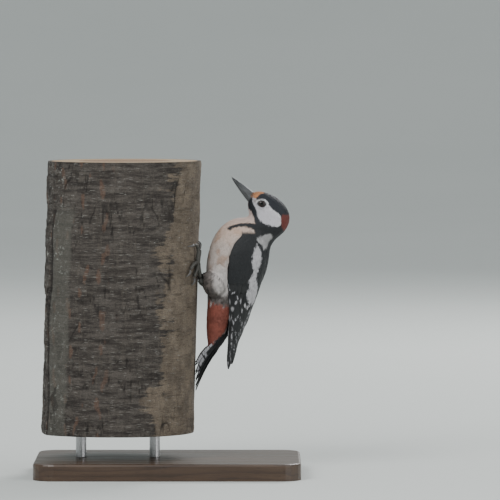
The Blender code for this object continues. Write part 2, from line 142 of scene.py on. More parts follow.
# %% Helpers for patterns
def placed(tree, stretch=(1, 1, 1), turn=(0, 0, 0)):
    """The piece's own coordinates, in which a pattern is longer along an axis where stretch is small."""
    own = add_node(tree, "ShaderNodeTexCoord").outputs["Object"]
    return add_node(tree, "ShaderNodeMapping", {"Vector": own, "Scale": stretch, "Rotation": turn}).outputs[0]


def field(tree, scale, detail=5.0, rough=0.6, stretch=(1, 1, 1), turn=(0, 0, 0), **more):
    """A noise over the piece."""
    look = {"Vector": placed(tree, stretch, turn), "Scale": scale, "Detail": detail, "Roughness": rough}
    return add_node(tree, "ShaderNodeTexNoise", {**look, **more}).outputs["Fac"]


def cells(tree, scale, stretch=(1, 1, 1)):
    """A pattern of cells over the piece, with distances and colours."""
    look = {"Vector": placed(tree, stretch), "Scale": scale}
    return add_node(tree, "ShaderNodeTexVoronoi", look).outputs


def number(tree, name, out="Fac"):
    """A number, or a colour, that the piece keeps on its points."""
    return add_node(tree, "ShaderNodeAttribute", attribute_name=name).outputs[out]


def toned(tree, colour, tone):
    """A colour made darker or paler by a number."""
    grey = add_node(tree, "ShaderNodeCombineColor", {k: tone for k in range(3)}).outputs[0]
    return blend_colours(tree, 1.0, colour, grey, "MULTIPLY")


def finish_with(tree, shader, colour, roughness=None, height=None, strength=0.0, distance=0.0):
    """Feeds the shader its colour and roughness, and lets a height field lean its normals."""
    tree.links.new(colour, shader.inputs["Base Color"])
    if roughness:
        tree.links.new(roughness, shader.inputs["Roughness"])
    if height:
        look = {"Strength": strength, "Distance": distance, "Height": height}
        tree.links.new(add_node(tree, "ShaderNodeBump", look).outputs["Normal"], shader.inputs["Normal"])


# %% Helpers that show a piece and name it
def show(name, data, finish=None):
    """Puts a mesh or a lamp in the scene, as an object at the origin."""
    made = bpy.data.objects.new(name, data)
    bpy.context.scene.collection.objects.link(made)
    if finish:
        data.materials.append(finish)
    return made


def show_form(name, form, finish=None):
    """Puts a bmesh in the scene as a smooth piece, and frees it."""
    mesh = bpy.data.meshes.new(name)
    form.to_mesh(mesh)
    form.free()
    mesh.shade_smooth()
    return show(name, mesh, finish)


def dress(made, slot, *solids):
    """Attaches a piece to the root body and hides the solids that it stands for; its slot is not used."""
    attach(made, "root")
    if solids:
        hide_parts(*solids)


# %% Floor, sky and lamps
FLOOR_FLAT, FLOOR_REACH, SWEEP_HEIGHT = 7.0, 16.0, 9.0  # the floor is flat to here, then sweeps up
LAMPS = {  # place, size, power
    "key": ((-1.5, -2.3, 2.1), 1.5, 78),
    "fill": ((2.2, -1.6, 0.9), 2.0, 34),
    "rim": ((1.3, 2.3, 1.9), 1.3, 70),
}

floor_form = bmesh.new()
sweep = [floor_form.verts.new((FLOOR_FLAT * k / 4, 0, 0)) for k in range(5)]
for turn in np.linspace(0, math.pi / 2, 17)[1:]:
    reach = FLOOR_FLAT + (FLOOR_REACH - FLOOR_FLAT) * math.sin(turn)
    sweep.append(floor_form.verts.new((reach, 0, SWEEP_HEIGHT * (1 - math.cos(turn)))))
profile = [floor_form.edges.new(pair) for pair in zip(sweep, sweep[1:])]
about = {"axis": (0, 0, 1), "cent": (0, 0, 0), "angle": 2 * math.pi}
bmesh.ops.spin(floor_form, geom=sweep + profile, steps=96, use_merge=True, **about)
bmesh.ops.remove_doubles(floor_form, verts=floor_form.verts, dist=1e-4)
bmesh.ops.recalc_face_normals(floor_form, faces=floor_form.faces)
floor_finish, tree, shader = new_material("pale_floor", 0.9)
floor = show_form("studio_floor", floor_form, floor_finish)
haze = field(tree, 1.5, 3.0, 0.5)
finish_with(tree, shader, blend_colours(tree, haze, (0.50, 0.52, 0.50), (0.54, 0.56, 0.54)))

world = bpy.data.worlds.new("soft_sky")
bpy.context.scene.world = world
world.use_nodes = True
sky = world.node_tree.nodes["Background"]
sky.inputs["Color"].default_value = (0.80, 0.84, 0.86, 1.0)
sky.inputs["Strength"].default_value = 1.05

for name, (place, size, power) in LAMPS.items():
    lamp_data = bpy.data.lights.new(name, "AREA")
    lamp_data.size = size
    lamp_data.energy = power
    lamp = show(name, lamp_data)
    lamp.location = place
    lamp.rotation_euler = (AIM - Vector(place)).to_track_quat("-Z", "Y").to_euler()
print("lamps:", ", ".join(LAMPS))

# %% [markdown]
# A few tools for shapes come next. Most pieces of a bird are lofts: a row of rings that a surface is
# stretched over, closed by a point at each end. A loft made from arrays of numbers is quick enough to lay
# hundreds of feathers. A solid of the frame is loose triangles, so a copy of it is welded before it is
# reshaped.


# %% Helpers for shapes
ACROSS = np.array((0.0, 1.0, 0.0))  # the bird's two sides mirror along this


def unit(vectors):
    """Each vector, made one long."""
    return vectors / np.maximum(np.linalg.norm(vectors, axis=-1, keepdims=True), 1e-12)


def flat_to(vectors, ups):
    """Directions turned square to others, such as a lie turned flat to the skin's normals."""
    return unit(vectors - ups * (vectors * ups).sum(-1, keepdims=True))


def smooth_line(points, steps, closed=False):
    """Places along a smooth curve (Catmull-Rom) through the points, which it keeps."""
    points = np.asarray(points, float)
    count = len(points) if closed else len(points) - 1
    at = np.arange(count * steps + (0 if closed else 1)) / steps
    low = np.minimum(at.astype(int), count - 1)
    share = (at - low)[:, None]

    def pick(k):
        return points[k % len(points)] if closed else points[np.clip(k, 0, len(points) - 1)]

    a, b, c, d = pick(low - 1), pick(low), pick(low + 1), pick(low + 2)
    return (
        b
        + 0.5 * share * (c - a)
        + share**2 * (a - 2.5 * b + 2 * c - 0.5 * d)
        + share**3 * (-0.5 * a + 1.5 * b - 1.5 * c + 0.5 * d)
    )


# %% Helpers for meshes
def loft_parts(rings, start, end):
    """Points and faces of a closed skin over rings (rows, sides, 3), with a point at each end."""
    rows, sides, _ = rings.shape
    points = np.vstack([rings.reshape(-1, 3), start, end])
    here = np.arange(rows * sides).reshape(rows, sides)
    turned = np.roll(here, -1, axis=1)
    quads = np.stack([here[:-1], turned[:-1], turned[1:], here[1:]], axis=-1).reshape(-1, 4)
    first, last = rows * sides, rows * sides + 1
    tips = [(int(b), int(a), first) for a, b in zip(here[0], turned[0])]
    tips += [(int(a), int(b), last) for a, b in zip(here[-1], turned[-1])]
    return points, quads.tolist() + tips


def add_mesh(name, points, faces, finish=None):
    """An object whose place is in its mesh, with its faces turned outwards."""
    mesh = bpy.data.meshes.new(name)
    mesh.from_pydata(np.asarray(points).tolist(), [], faces)
    form = bmesh.new()
    form.from_mesh(mesh)
    bmesh.ops.recalc_face_normals(form, faces=form.faces)
    form.to_mesh(mesh)
    form.free()
    mesh.shade_smooth()
    return show(name, mesh, finish)


# %% Helpers for what is kept on points
def numbers_of(items, key, width=1, kind=np.float32):
    """One property of every item, with width numbers each."""
    found = np.empty(len(items) * width, kind)
    items.foreach_get(key, found)
    return found.reshape(-1, width) if width > 1 else found


def normals_of(mesh):
    return numbers_of(mesh.vertex_normals, "vector", 3).astype(float)


def store(mesh, **values):
    """Keeps numbers or directions on a mesh's points, by name."""
    for name, numbers in values.items():
        numbers = np.asarray(numbers, np.float32)
        kind, key = ("FLOAT", "value") if numbers.ndim == 1 else ("FLOAT_VECTOR", "vector")
        mesh.attributes.new(name, kind, "POINT").data.foreach_set(key, numbers.ravel())


def store_plumage(mesh, colours):
    """Keeps the plumage's colour on each of a mesh's points."""
    layer = mesh.attributes.get("plumage") or mesh.attributes.new("plumage", "FLOAT_COLOR", "POINT")
    full = np.hstack([colours, np.ones((len(colours), 1))])
    layer.data.foreach_set("color", full.astype(np.float32).ravel())


def add_joined(name, parts, finish=None, **values):
    """One object from many (points, faces), or (points, faces, map) where each has a map of its vane."""
    starts = np.cumsum([0] + [len(part[0]) for part in parts]).tolist()
    faces = [[k + start for k in face] for start, part in zip(starts, parts) for face in part[1]]
    made = add_mesh(name, np.vstack([part[0] for part in parts]), faces, finish)
    store(made.data, **{key: np.concatenate(numbers) for key, numbers in values.items()})
    if len(parts[0]) > 2:
        corners = numbers_of(made.data.loops, "vertex_index", kind=np.int32)
        places = np.vstack([part[2] for part in parts])[corners]
        made.data.uv_layers.new(name="vane").uv.foreach_set("vector", places.astype(np.float32).ravel())
    return made


# %% Helpers for the frame's solids
def welded(*names):
    """A welded copy of some of the frame's solids, as a bmesh."""
    form = bmesh.new()
    for name in names:
        form.from_mesh(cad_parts[name].data)
    bmesh.ops.remove_doubles(form, verts=form.verts, dist=1e-6)
    form.normal_update()
    return form


def tree_of(*names):
    """The surface of some of the frame's solids, to be asked for its nearest place or a ray's hit."""
    form = welded(*names)
    tree = BVHTree.FromBMesh(form)
    form.free()
    return tree


def with_modifiers(made, *steps):
    """Applies modifiers, given as (kind, settings), and leaves a plain mesh."""
    for number, (kind, settings) in enumerate(steps):
        modifier = made.modifiers.new(f"step_{number}", kind)
        for key, value in settings.items():
            setattr(modifier, key, value)
    bpy.context.view_layer.update()
    result = made.evaluated_get(bpy.context.evaluated_depsgraph_get())
    mesh = bpy.data.meshes.new_from_object(result)
    made.modifiers.clear()
    made.data = mesh
    return made


# %% Helpers for steps and noise
def ease(low, high, values):
    """A smooth step from 0 at low to 1 at high."""
    share = np.clip((np.asarray(values, float) - low) / (high - low), 0, 1)
    return share * share * (3 - 2 * share)


def rough_field(points, size, seed):
    """Smooth noise about -1 to 1 over places, from a few plane waves of mixed headings."""
    random = np.random.default_rng(seed)
    total = 0
    for _ in range(9):
        heading = unit(random.normal(size=3)) * random.uniform(0.6, 1.7) * 2 * math.pi / size
        total = total + np.sin(points @ heading + random.uniform(0, 2 * math.pi))
    return total / 3.2


# %% [markdown]
# ## The skin
# Under its feathers a bird is one skin, and a seam at the neck or the thigh would show wherever the coat
# thins. The separate solids of flesh are melted into one by a voxel remesh, which fills the gaps between
# them. The skin is then drawn in by the depth of the coat, so that the feathers' tips, not the skin, reach
# the outline. Eyeballs, a little swollen, join the melt, so that the face rises to them as lids do. So does
# a tapering core at the trunk's end, which carries the coverts out over the roots of the tail.

# %% Melt the flesh into one skin
FLESH = ("head", "neck", "trunk", "shin_left", "shin_right", "foot_left", "foot_right")
SKIN_VOXEL = 0.62 * MM
EYE_CENTRES = {side: sum(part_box(f"eye_{side}"), Vector()) / 2 for side in SIDES}
EYE_RADIUS = (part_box("eye_left")[1].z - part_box("eye_left")[0].z) / 2
CORE_ROOT, CORE_END = np.array(((46.5, 0, 132.0), (38.6, 0, 107.0))) * MM
CORE_HALF = np.array((7.4, 6.6)) * MM  # across the body, and from its back to its belly

flesh = welded(*FLESH)
core_rings = []
core_out = np.cross(unit(CORE_END - CORE_ROOT), ACROSS)
for share in np.linspace(0, 0.96, 14):
    turns = np.linspace(0, 2 * math.pi, 32, endpoint=False)[:, None]
    across = np.cos(turns) * ACROSS * CORE_HALF[0] + np.sin(turns) * core_out * CORE_HALF[1]
    core_rings.append(CORE_ROOT + (CORE_END - CORE_ROOT) * share + across * (1 - share**1.7))
core_points, core_faces = loft_parts(np.array(core_rings), CORE_ROOT, CORE_END)
core_verts = [flesh.verts.new(point) for point in core_points.tolist()]
core_made = [flesh.faces.new([core_verts[k] for k in face]) for face in core_faces]
bmesh.ops.recalc_face_normals(flesh, faces=core_made)
flesh.normal_update()
for vert in flesh.verts:
    vert.co += vert.normal * 0.25 * MM
for centre in EYE_CENTRES.values():
    bmesh.ops.create_uvsphere(
        flesh, u_segments=32, v_segments=20, radius=EYE_RADIUS + 0.2 * MM, matrix=Matrix.Translation(centre)
    )
skin = show_form("skin", flesh)
with_modifiers(
    skin,
    ("REMESH", {"mode": "VOXEL", "voxel_size": SKIN_VOXEL, "adaptivity": 0.0}),
    ("SMOOTH", {"factor": 0.5, "iterations": 14}),
)
print("skin:", len(skin.data.vertices), "points")

# %% [markdown]
# Feathers lie along the body from the bill to the tail. A line through the middle of the bird, from the
# bill over the bent neck and down the trunk, says which way that is at any place: the lie there is a blend
# of the line's directions nearby, turned flat to the skin. The same line gives each place its distance from
# the bill and its heading round the body, which together are an unwrap of the skin's own shape.

# %% The lie of the coat
SPINE = (
    (79.1, 263.2), (86.5, 258.8), (92.6, 252.6), (94.6, 245.2), (90.8, 238.6), (82.0, 232.6), (74.2, 225.0),
    (69.2, 213.5), (65.8, 200.0), (62.8, 187.0), (59.4, 173.0), (54.8, 159.0), (49.8, 144.0), (44.6, 126.0),
    (41.6, 116.0), (38.6, 106.0),
)
SPINE_BLEND = 5  # how strongly the nearest stretch of the line counts

spine = smooth_line([(x, 0, z) for x, z in SPINE], 6) * MM
spine_steps = np.linalg.norm(np.diff(spine, axis=0), axis=1)
spine_run = np.concatenate([[0], np.cumsum(spine_steps)])
spine_ahead = unit(np.gradient(spine, axis=0))


def along_body(places):
    """Distance from the bill along the body, direction to the tail, and the nearby middle, at each place."""
    apart = np.linalg.norm(places[:, None] - spine[None], axis=2)
    weight = 1 / (apart + 1e-4) ** SPINE_BLEND
    weight /= weight.sum(axis=1, keepdims=True)
    return weight @ spine_run, unit(weight @ spine_ahead), weight @ spine


def round_body(places, ahead, middle):
    """The heading of each place round the body: 0 at the back, pi at the breast, with its side's sign."""
    out = places - middle
    back = np.cross(ahead, ACROSS)
    return np.arctan2(out[:, 1], (out * back).sum(axis=1))


print("body line:", round(spine_run[-1] / MM), "mm")

# %% [markdown]
# How deep the coat is, and how long its feathers are, changes along the body: bristles of a millimetre or
# two at the bill, soft plumes of a centimetre on the belly. A short table along the body line holds these,
# and the eye and the bare feet bring them down to nothing.

# %% Depth of the coat
COAT_AT = (0, 8, 17, 27, 40, 54, 75, 100, 125, 158, 180)  # along the body line
COAT_DEPTH = (0.6, 0.8, 0.95, 1.1, 1.4, 1.8, 2.3, 2.4, 2.3, 1.7, 0.5)
FEATHER_LENGTH = (1.9, 2.6, 3.6, 4.6, 6.0, 7.4, 8.8, 9.8, 10.6, 11.0, 8.0)
FEATHER_WIDTH = (0.62, 0.70, 0.85, 1.0, 1.25, 1.5, 1.7, 1.8, 1.8, 1.8, 1.6)
LID_OPENING = 2.85
THIGH_DEPTH, THIGH_LENGTH, THIGH_WIDTH = 1.9, 6.0, 1.6
HEEL = (37.8, 13.2, 187.4)
KNEE = (50.0, 10.0, 176.0)

places = numbers_of(skin.data.vertices, "co", 3).astype(float)
ups = normals_of(skin.data)
run, ahead, middle = along_body(places)
heading = round_body(places, ahead, middle)


def from_table(values):
    return np.interp(run / MM, COAT_AT, values)


def off_eye(points):
    """Distance from the nearer eye's axis, in mm, on the outside of the head; large elsewhere."""
    centre = np.array(EYE_CENTRES["right"])
    apart = np.hypot(points[:, 0] - centre[0], points[:, 2] - centre[2]) / MM
    return np.where(np.abs(points[:, 1]) > centre[1] * 0.6, apart, 99.0)


low_front = (places[:, 2] < 0.225) & (places[:, 0] < 0.056)


def height_over(elsewhere, *solids):
    """Signed height in mm over some solids, for the low places at the front, and a number elsewhere."""
    tree, found = tree_of(*solids), np.full(len(places), elsewhere)
    for k in np.flatnonzero(low_front).tolist():
        near, normal, _, _ = tree.find_nearest(places[k])
        found[k] = (Vector(places[k]) - near).dot(normal) / MM
    return found


beyond_trunk = height_over(0.0, "trunk")
off_foot, off_shin = (height_over(99.0, f"{limb}_left", f"{limb}_right") for limb in ("foot", "shin"))
bare_foot = (off_foot < 1.0) & (off_shin > 1.0) & (beyond_trunk > 1.0)
thigh = ease(0.3, 1.2, beyond_trunk) * ease(1.2, 0.4, off_shin) * ~bare_foot

lid_fade = ease(LID_OPENING + 0.6, LID_OPENING + 3.4, off_eye(places))
depth = from_table(COAT_DEPTH) * (1 - thigh) + THIGH_DEPTH * thigh
depth = np.where(bare_foot, 0.35, depth * (0.1 + 0.9 * lid_fade))
print("thigh points:", int(thigh.sum()), "bare foot points:", int(bare_foot.sum()))

# %% Draw the skin in under its coat
edges = numbers_of(skin.data.edges, "vertices", 2, np.int32)


def neighbour_means(values):
    """For each point of the skin, the mean over the points that edges join to it."""
    total, count = np.zeros(len(values)), np.zeros(len(values))
    for one, other in (edges.T, edges.T[::-1]):
        np.add.at(total, one, values[other])
        np.add.at(count, one, 1)
    return total / np.maximum(count, 1)


smooth_depth = depth
for _ in range(12):
    smooth_depth = 0.5 * smooth_depth + 0.5 * neighbour_means(smooth_depth)

drawn_in = places - ups * smooth_depth[:, None] * MM
opened = (off_eye(places) < LID_OPENING + 0.5) & (np.abs(places[:, 1]) > 0.006)
drawn_in[opened] = places[opened] - ups[opened] * 1.4 * MM
skin.data.vertices.foreach_set("co", drawn_in.astype(np.float32).ravel())
skin.data.update()
print("skin drawn in by", round(float(smooth_depth.mean()), 2), "mm on the whole")

# %% [markdown]
# ## The markings
# The pied pattern is what names this bird. Each marking is a smooth outline in the side view, run through a
# few listed points. How far a place lies inside an outline, in millimetres, says whether it wears that
# colour, and a little noise in that distance gives the ragged edge that feather tips make. Skin, coat and
# wings all ask this one function, so their markings always agree. The plumage is black where no outline
# claims it.

# %% Colours of the plumage
BLACK = (0.0125, 0.0135, 0.015)
CROWN = (0.016, 0.018, 0.023)
CHEEK = (0.49, 0.475, 0.505)
THROAT = (0.50, 0.40, 0.375)
BUFF = (0.50, 0.37, 0.30)
RUST = (0.27, 0.15, 0.09)
BREAST = (0.45, 0.39, 0.355)
BELLY = (0.50, 0.465, 0.45)
# a dark grey-brown patch low on the belly, above the red under the tail
LOWER_BELLY_DARK = (0.055, 0.046, 0.043)
CRIMSON = (0.225, 0.068, 0.050)
DARK_CRIMSON = (0.150, 0.048, 0.036)
NAPE_RED = (0.120, 0.030, 0.025)
FOREHEAD = (0.44, 0.20, 0.095)
NECK_WHITE = (0.29, 0.285, 0.285)
# the white of the scapulars, painted a dim lilac grey as white in shade
SHADED_SCAPULAR_WHITE = (0.38, 0.37, 0.385)
LORE_GREY = (0.20, 0.17, 0.155)
# THIGH_GREY is a grey tone over the thighs, laid much more strongly towards the trunk as painted shade
THIGH_GREY = (0.10, 0.085, 0.078)
EYE_LINE = (4.3, 2.8)  # half sizes of the dark almond round the eye
# the white of the brow also paints a highlight along the cheek's upper rear edge
BROW_AND_HIGHLIGHT_WHITE, BROW_LINE, BROW_HALF = (0.62, 0.61, 0.62), (5.4, 4.0), 0.8  # a white line over the eye

# %% Outlines of the markings
OUTLINES = {
    "cheek": (
        (80.2, 263.3), (83.0, 262.4), (85.2, 260.7), (87.0, 260.9), (89.6, 262.3), (92.6, 260.6),
        (94.6, 257.6), (97.4, 253.9), (101.8, 250.2), (107.2, 245.2), (108.4, 241.8), (107.2, 238.8),
        (104.7, 236.0), (99.5, 236.6), (93.3, 238.5), (87.4, 241.6), (85.3, 245.6), (83.6, 251.8),
        (80.6, 258.6),
    ),
    "throat": (
        (60.0, 252.6), (73.0, 252.6), (77.4, 251.6), (79.2, 249.4), (80.8, 246.4), (82.0, 242.5),
        (82.4, 239.0), (79.8, 239.0), (73.6, 239.4), (67.4, 238.9), (61.1, 237.6), (57.6, 235.6),
        (50.0, 236.0), (40.0, 250.0),
    ),
    "underparts": (
        (58.2, 233.2), (63.2, 235.2), (69.4, 236.1), (75.7, 235.4), (80.3, 233.1), (83.2, 229.0),
        (80.0, 224.0), (74.0, 214.0), (71.0, 196.0), (66.5, 176.0), (62.0, 160.0), (57.8, 146.0),
        (55.0, 137.6), (50.8, 132.8), (45.8, 127.8), (41.2, 122.6), (36.0, 117.0), (20.0, 108.0),
        (10.0, 160.0), (20.0, 230.0), (45.0, 240.0), (54.0, 236.5),
    ),
    "forehead": (
        (79.0, 264.2), (81.2, 262.6), (83.4, 263.0), (85.6, 264.6), (88.0, 266.8), (91.4, 268.4),
        (90.0, 274.0), (80.0, 274.0), (76.0, 268.0),
    ),
    "nape": (
        (107.6, 246.0), (112.0, 247.0), (122.0, 246.4), (122.0, 232.0), (113.5, 231.4), (110.0, 232.2),
        (108.2, 235.4), (107.5, 239.4),
    ),
    "neck_patch": (
        (84.0, 223.6), (86.4, 226.4), (90.0, 226.9), (93.2, 228.8), (97.0, 229.0), (99.6, 227.2),
        (98.6, 224.4), (95.8, 221.2), (94.8, 217.4), (92.8, 214.6), (90.6, 215.2), (88.6, 218.2),
        (86.2, 221.0),
    ),
    # the dark patch low on the belly
    "lower_belly_dark": (
        (28.0, 190.0), (36.5, 190.5), (40.5, 186.0), (42.5, 179.0), (46.5, 173.5), (52.0, 170.5),
        (58.0, 171.5), (61.0, 166.0), (58.0, 159.5), (50.0, 160.5), (42.0, 163.5), (36.5, 166.0),
        (30.0, 172.0),
    ),
    "lores": (
        (80.6, 261.0), (83.4, 260.9), (85.8, 261.6), (87.6, 262.2), (88.0, 259.0), (85.6, 257.6),
        (82.8, 258.4),
    ),
    "scapular": (
        (84.6, 218.6), (87.2, 215.0), (88.3, 210.0), (88.0, 203.0), (86.0, 197.6), (84.3, 192.8),
        (83.7, 188.0), (84.6, 181.0), (83.6, 173.2), (81.0, 164.2), (77.6, 163.2), (75.0, 169.1),
        (75.2, 175.3), (77.2, 180.0), (77.0, 184.6), (77.4, 188.6), (79.6, 190.8), (80.8, 194.6),
        (80.0, 201.0), (80.2, 208.0), (82.0, 214.5),
    ),
}
outlines = {name: smooth_line(points, 5, closed=True) for name, points in OUTLINES.items()}


def inside(name, points):
    """How far inside an outline of the side view each place is, in mm; below 0 outside it."""
    at = points[:, (0, 2)] / MM
    line = outlines[name]
    start, reach = line, np.roll(line, -1, axis=0) - line
    off = at[:, None] - start
    share = np.clip((off * reach).sum(2) / (reach**2).sum(1), 0, 1)
    near = np.linalg.norm(off - share[..., None] * reach, axis=2).min(1)
    with np.errstate(divide="ignore", invalid="ignore"):
        cross_x = off[..., 0] - off[..., 1] * reach[:, 0] / reach[:, 1]
    spans = (off[..., 1] >= 0) != (off[..., 1] >= reach[:, 1])
    odd = (spans & (cross_x > 0)).sum(1) % 2 == 1
    return np.where(odd, near, -near)


print("outlines:", ", ".join(outlines))


# %% Lay the markings
def paint(colours, share, colour):
    """Lays a colour, or one for each place, over others by the places' shares."""
    share = np.asarray(share)[:, None]
    return np.asarray(colours) * (1 - share) + np.asarray(colour) * share


def underparts_at(points, mottle, cloud):
    """The breast and belly: buff above, stained with rust, and crimson under the tail."""
    ahead_at, height = points[:, 0] / MM, points[:, 2] / MM
    pale = paint(BELLY, ease(186, 210, height), BREAST)
    pale = paint(pale, ease(212, 232, height) * (0.75 + 0.25 * cloud), BUFF)
    rusty = ease(0.15, 1.0, cloud + 0.35 * mottle) * ease(186, 205, height) * ease(238, 222, height)
    pale = paint(pale, 0.55 * rusty, RUST) * (1 + 0.07 * mottle[:, None])
    red_from = 160.5 + 0.22 * np.clip(57 - ahead_at, 0, 25)
    red = ease(1.8, -1.8, height - red_from + 2.2 * mottle)
    return pale, red, paint(CRIMSON, ease(-0.4, 1.2, cloud + 0.5 * mottle) * 0.7, DARK_CRIMSON)


def plumage_at(points, ragged=0.35, thigh_share=0.0):
    """The plumage's colour at each place."""
    ahead_at, away, height = (np.abs(points) / MM).T
    edge = ragged * rough_field(points, 0.0016, 3) + 0.4 * ragged * rough_field(points, 0.005, 4)
    mottle, cloud = rough_field(points, 0.0045, 5), rough_field(points, 0.016, 6)

    def worn(name, softness=0.35):
        return ease(-softness, softness, inside(name, points) + edge)

    pale, red, crimson = underparts_at(points, mottle, cloud)
    colours = paint(BLACK, ease(232, 246, height), CROWN)
    colours = paint(colours, worn("underparts", 0.5), pale)
    colours = paint(colours, worn("lower_belly_dark", 2.2) * worn("underparts") * (0.88 + 0.12 * mottle), LOWER_BELLY_DARK)
    colours = paint(colours, worn("underparts", 0.5) * red, crimson)

    throat = paint(THROAT, ease(250, 238, height) * 0.75, BUFF)
    throat = paint(throat, ease(248, 256, height) * 0.5, CHEEK)
    under_bill = ease(3.0, 1.8, away) * ease(251, 253, height) * ease(81, 79, ahead_at)
    colours = paint(colours, np.maximum(worn("throat"), under_bill), throat)

    # a painted highlight: a bright rim just inside the cheek's upper rear edge
    cheek_rim_highlight = ease(2.2, 0.8, inside("cheek", points)) * ease(1.0, 4.0, ahead_at + 0.6 * height - 243)
    centre = np.array(EYE_CENTRES["right"])
    off_x, off_z = ((points[:, k] - centre[k]) / MM for k in (0, 2))
    off_line = np.hypot(off_x / EYE_LINE[0], off_z / EYE_LINE[1])
    off_brow = np.abs(np.hypot(off_x / BROW_LINE[0], off_z / BROW_LINE[1]) - 1) * BROW_LINE[1]
    brow = ease(BROW_HALF, 0.4 * BROW_HALF, off_brow) * ease(-1.6, 0.2, off_z + 0.35 * off_x)
    outside = ease(4.0, 5.0, away)
    marks = (  # how fully each place wears a marking, and its colour, in the order they are laid
        (worn("cheek"), CHEEK),
        # the painted highlight on the cheek's upper rear edge
        (worn("cheek") * cheek_rim_highlight * 0.7, BROW_AND_HIGHLIGHT_WHITE),
        (worn("neck_patch", 0.8) * ease(4.0, 6.0, away + edge), NECK_WHITE),
        (worn("forehead"), FOREHEAD),
        (worn("forehead") * 0.5 * ease(82.0, 80.0, ahead_at) * ease(3, 7, away), CHEEK),
        (worn("nape"), NAPE_RED),
        (0.75 * worn("lores", 0.6), LORE_GREY),
        (ease(1.12, 0.9, off_line) * outside, BLACK),
        (brow * outside, BROW_AND_HIGHLIGHT_WHITE),
        # the thighs' grey, which towards the trunk is painted shade
        (np.broadcast_to(thigh_share, len(points)), np.array(THIGH_GREY) * (1 + 0.5 * mottle[:, None])),
    )
    for share, colour in marks:
        colours = paint(colours, share, colour)
    return np.clip(colours, 0.004, 1)


FOOT_COLOUR = (0.085, 0.082, 0.08)
# a little grey over all of the thighs, and much more towards the trunk, where it is painted shade
thigh_grey_and_shade = thigh * (0.22 + 0.65 * ease(46.5, 40.0, places[:, 0] / MM))
skin_colours = plumage_at(places, thigh_share=thigh_grey_and_shade)
skin_colours = np.where(bare_foot[:, None], FOOT_COLOUR, skin_colours)
print("the skin's mean colour:", np.round(skin_colours.mean(0), 3))

# %% [markdown]
# The barbs of a feather are fine parallel threads that leave its shaft at a slant. One shader group draws
# them in a vane's own map, as a height for the bump and as a faint streak in the colour. Both finishes of
# feather use it: dark feathers are smooth and a little glossy, pale ones loose and matt.

# %% The barbs group and the feather finishes
barbs = bpy.data.node_groups.new("barbs", "ShaderNodeTree")
for name, start in (("Barbs Across", 9.0), ("Slant", 0.5)):
    barbs.interface.new_socket(name, in_out="INPUT", socket_type="NodeSocketFloat").default_value = start
for name in ("Height", "Streak"):
    barbs.interface.new_socket(name, in_out="OUTPUT", socket_type="NodeSocketFloat")
given = add_node(barbs, "NodeGroupInput").outputs
vane_map = add_node(barbs, "ShaderNodeUVMap", uv_map="vane").outputs[0]
over, along, _ = add_node(barbs, "ShaderNodeSeparateXYZ", {0: vane_map}).outputs
from_shaft = math_node(barbs, "ABSOLUTE", math_node(barbs, "SUBTRACT", over, 0.5))
slanted = math_node(barbs, "SUBTRACT", along, times(barbs, from_shaft, given["Slant"]))
threads = {0: times(barbs, from_shaft, 2.0), 1: slanted, 2: 0.0}
threads = add_node(barbs, "ShaderNodeCombineXYZ", threads).outputs[0]
thread_look = {"Vector": threads, "Scale": given["Barbs Across"], "Detail": 3.0, "Roughness": 0.65}
fine = add_node(barbs, "ShaderNodeTexNoise", thread_look).outputs["Fac"]
both = plus(barbs, fine, times(barbs, field(barbs, 900.0, 3.0, 0.5), 0.6))
add_node(barbs, "NodeGroupOutput", {"Height": both, "Streak": times(barbs, both, 0.62)})


def use_barbs(tree, across, slant):
    group = add_node(tree, "ShaderNodeGroup", {"Barbs Across": across, "Slant": slant}, node_tree=barbs)
    return group.outputs["Height"], group.outputs["Streak"]


coat_finish, tree, shader = new_material(
    "coat_feathers", Sheen_Weight=0.04, Sheen_Roughness=0.5, Specular_IOR_Level=0.25
)
colour = number(tree, "plumage", "Color")
height, streak = use_barbs(tree, 14.0, 0.5)
shaded = toned(tree, colour, even_ramp(tree, streak, 0.25, 0.75, 0.85, 1.15))
brightness = add_node(tree, "ShaderNodeRGBToBW", {0: colour}).outputs[0]
finish_with(tree, shader, shaded, even_ramp(tree, brightness, 0.02, 0.25, 0.55, 0.9), height, 0.25, 0.00015)

skin_finish, tree, shader = new_material("downy_skin", 0.9)  # seen between the feathers, dulled by down
down = field(tree, 1400.0, 4.0, 0.5)
shaded = toned(tree, number(tree, "plumage", "Color"), even_ramp(tree, down, 0.3, 0.7, 0.35, 0.8))
finish_with(tree, shader, shaded, None, down, 0.6, 0.0003)

skin.data.materials.clear()
skin.data.materials.append(skin_finish)
skin.data.shade_smooth()
dress(skin, "pale_feathers", *FLESH)
print("finishes:", coat_finish.name, "and", skin_finish.name)

# %% [markdown]
# ## The coat
# A contour feather shows only its outer third, because the next row lies over the rest, and its loose barbs
# part into a few fine points. Each vane here is a small closed blade with a ridge for its shaft. A soft
# plume is three slim blades that fan from one root; a firm one, as on the crown and back, is a single broad
# blade. Both rise steeply from the skin and then run level, so that their tips lie along the outline of the
# bird.


# %% Two shapes of vane
SOFT_ROWS = ((0.30, 0.85), (0.74, 1.0))  # shares of the length, and of the half width there
FIRM_ROWS = ((0.20, 0.55), (0.55, 1.0), (0.86, 0.78))
VANE_RIDGE, VANE_EDGE = 0.035, 0.055  # over and under the vane's middle, as shares of the coat's depth
SOFT_BLADES = ((-0.30, -0.20, 0.90, 0.36), (0.02, 0.0, 1.0, 0.42), (0.32, 0.22, 0.93, 0.36))
FIRM_BLADES = ((0.0, 0.0, 1.0, 1.0),)


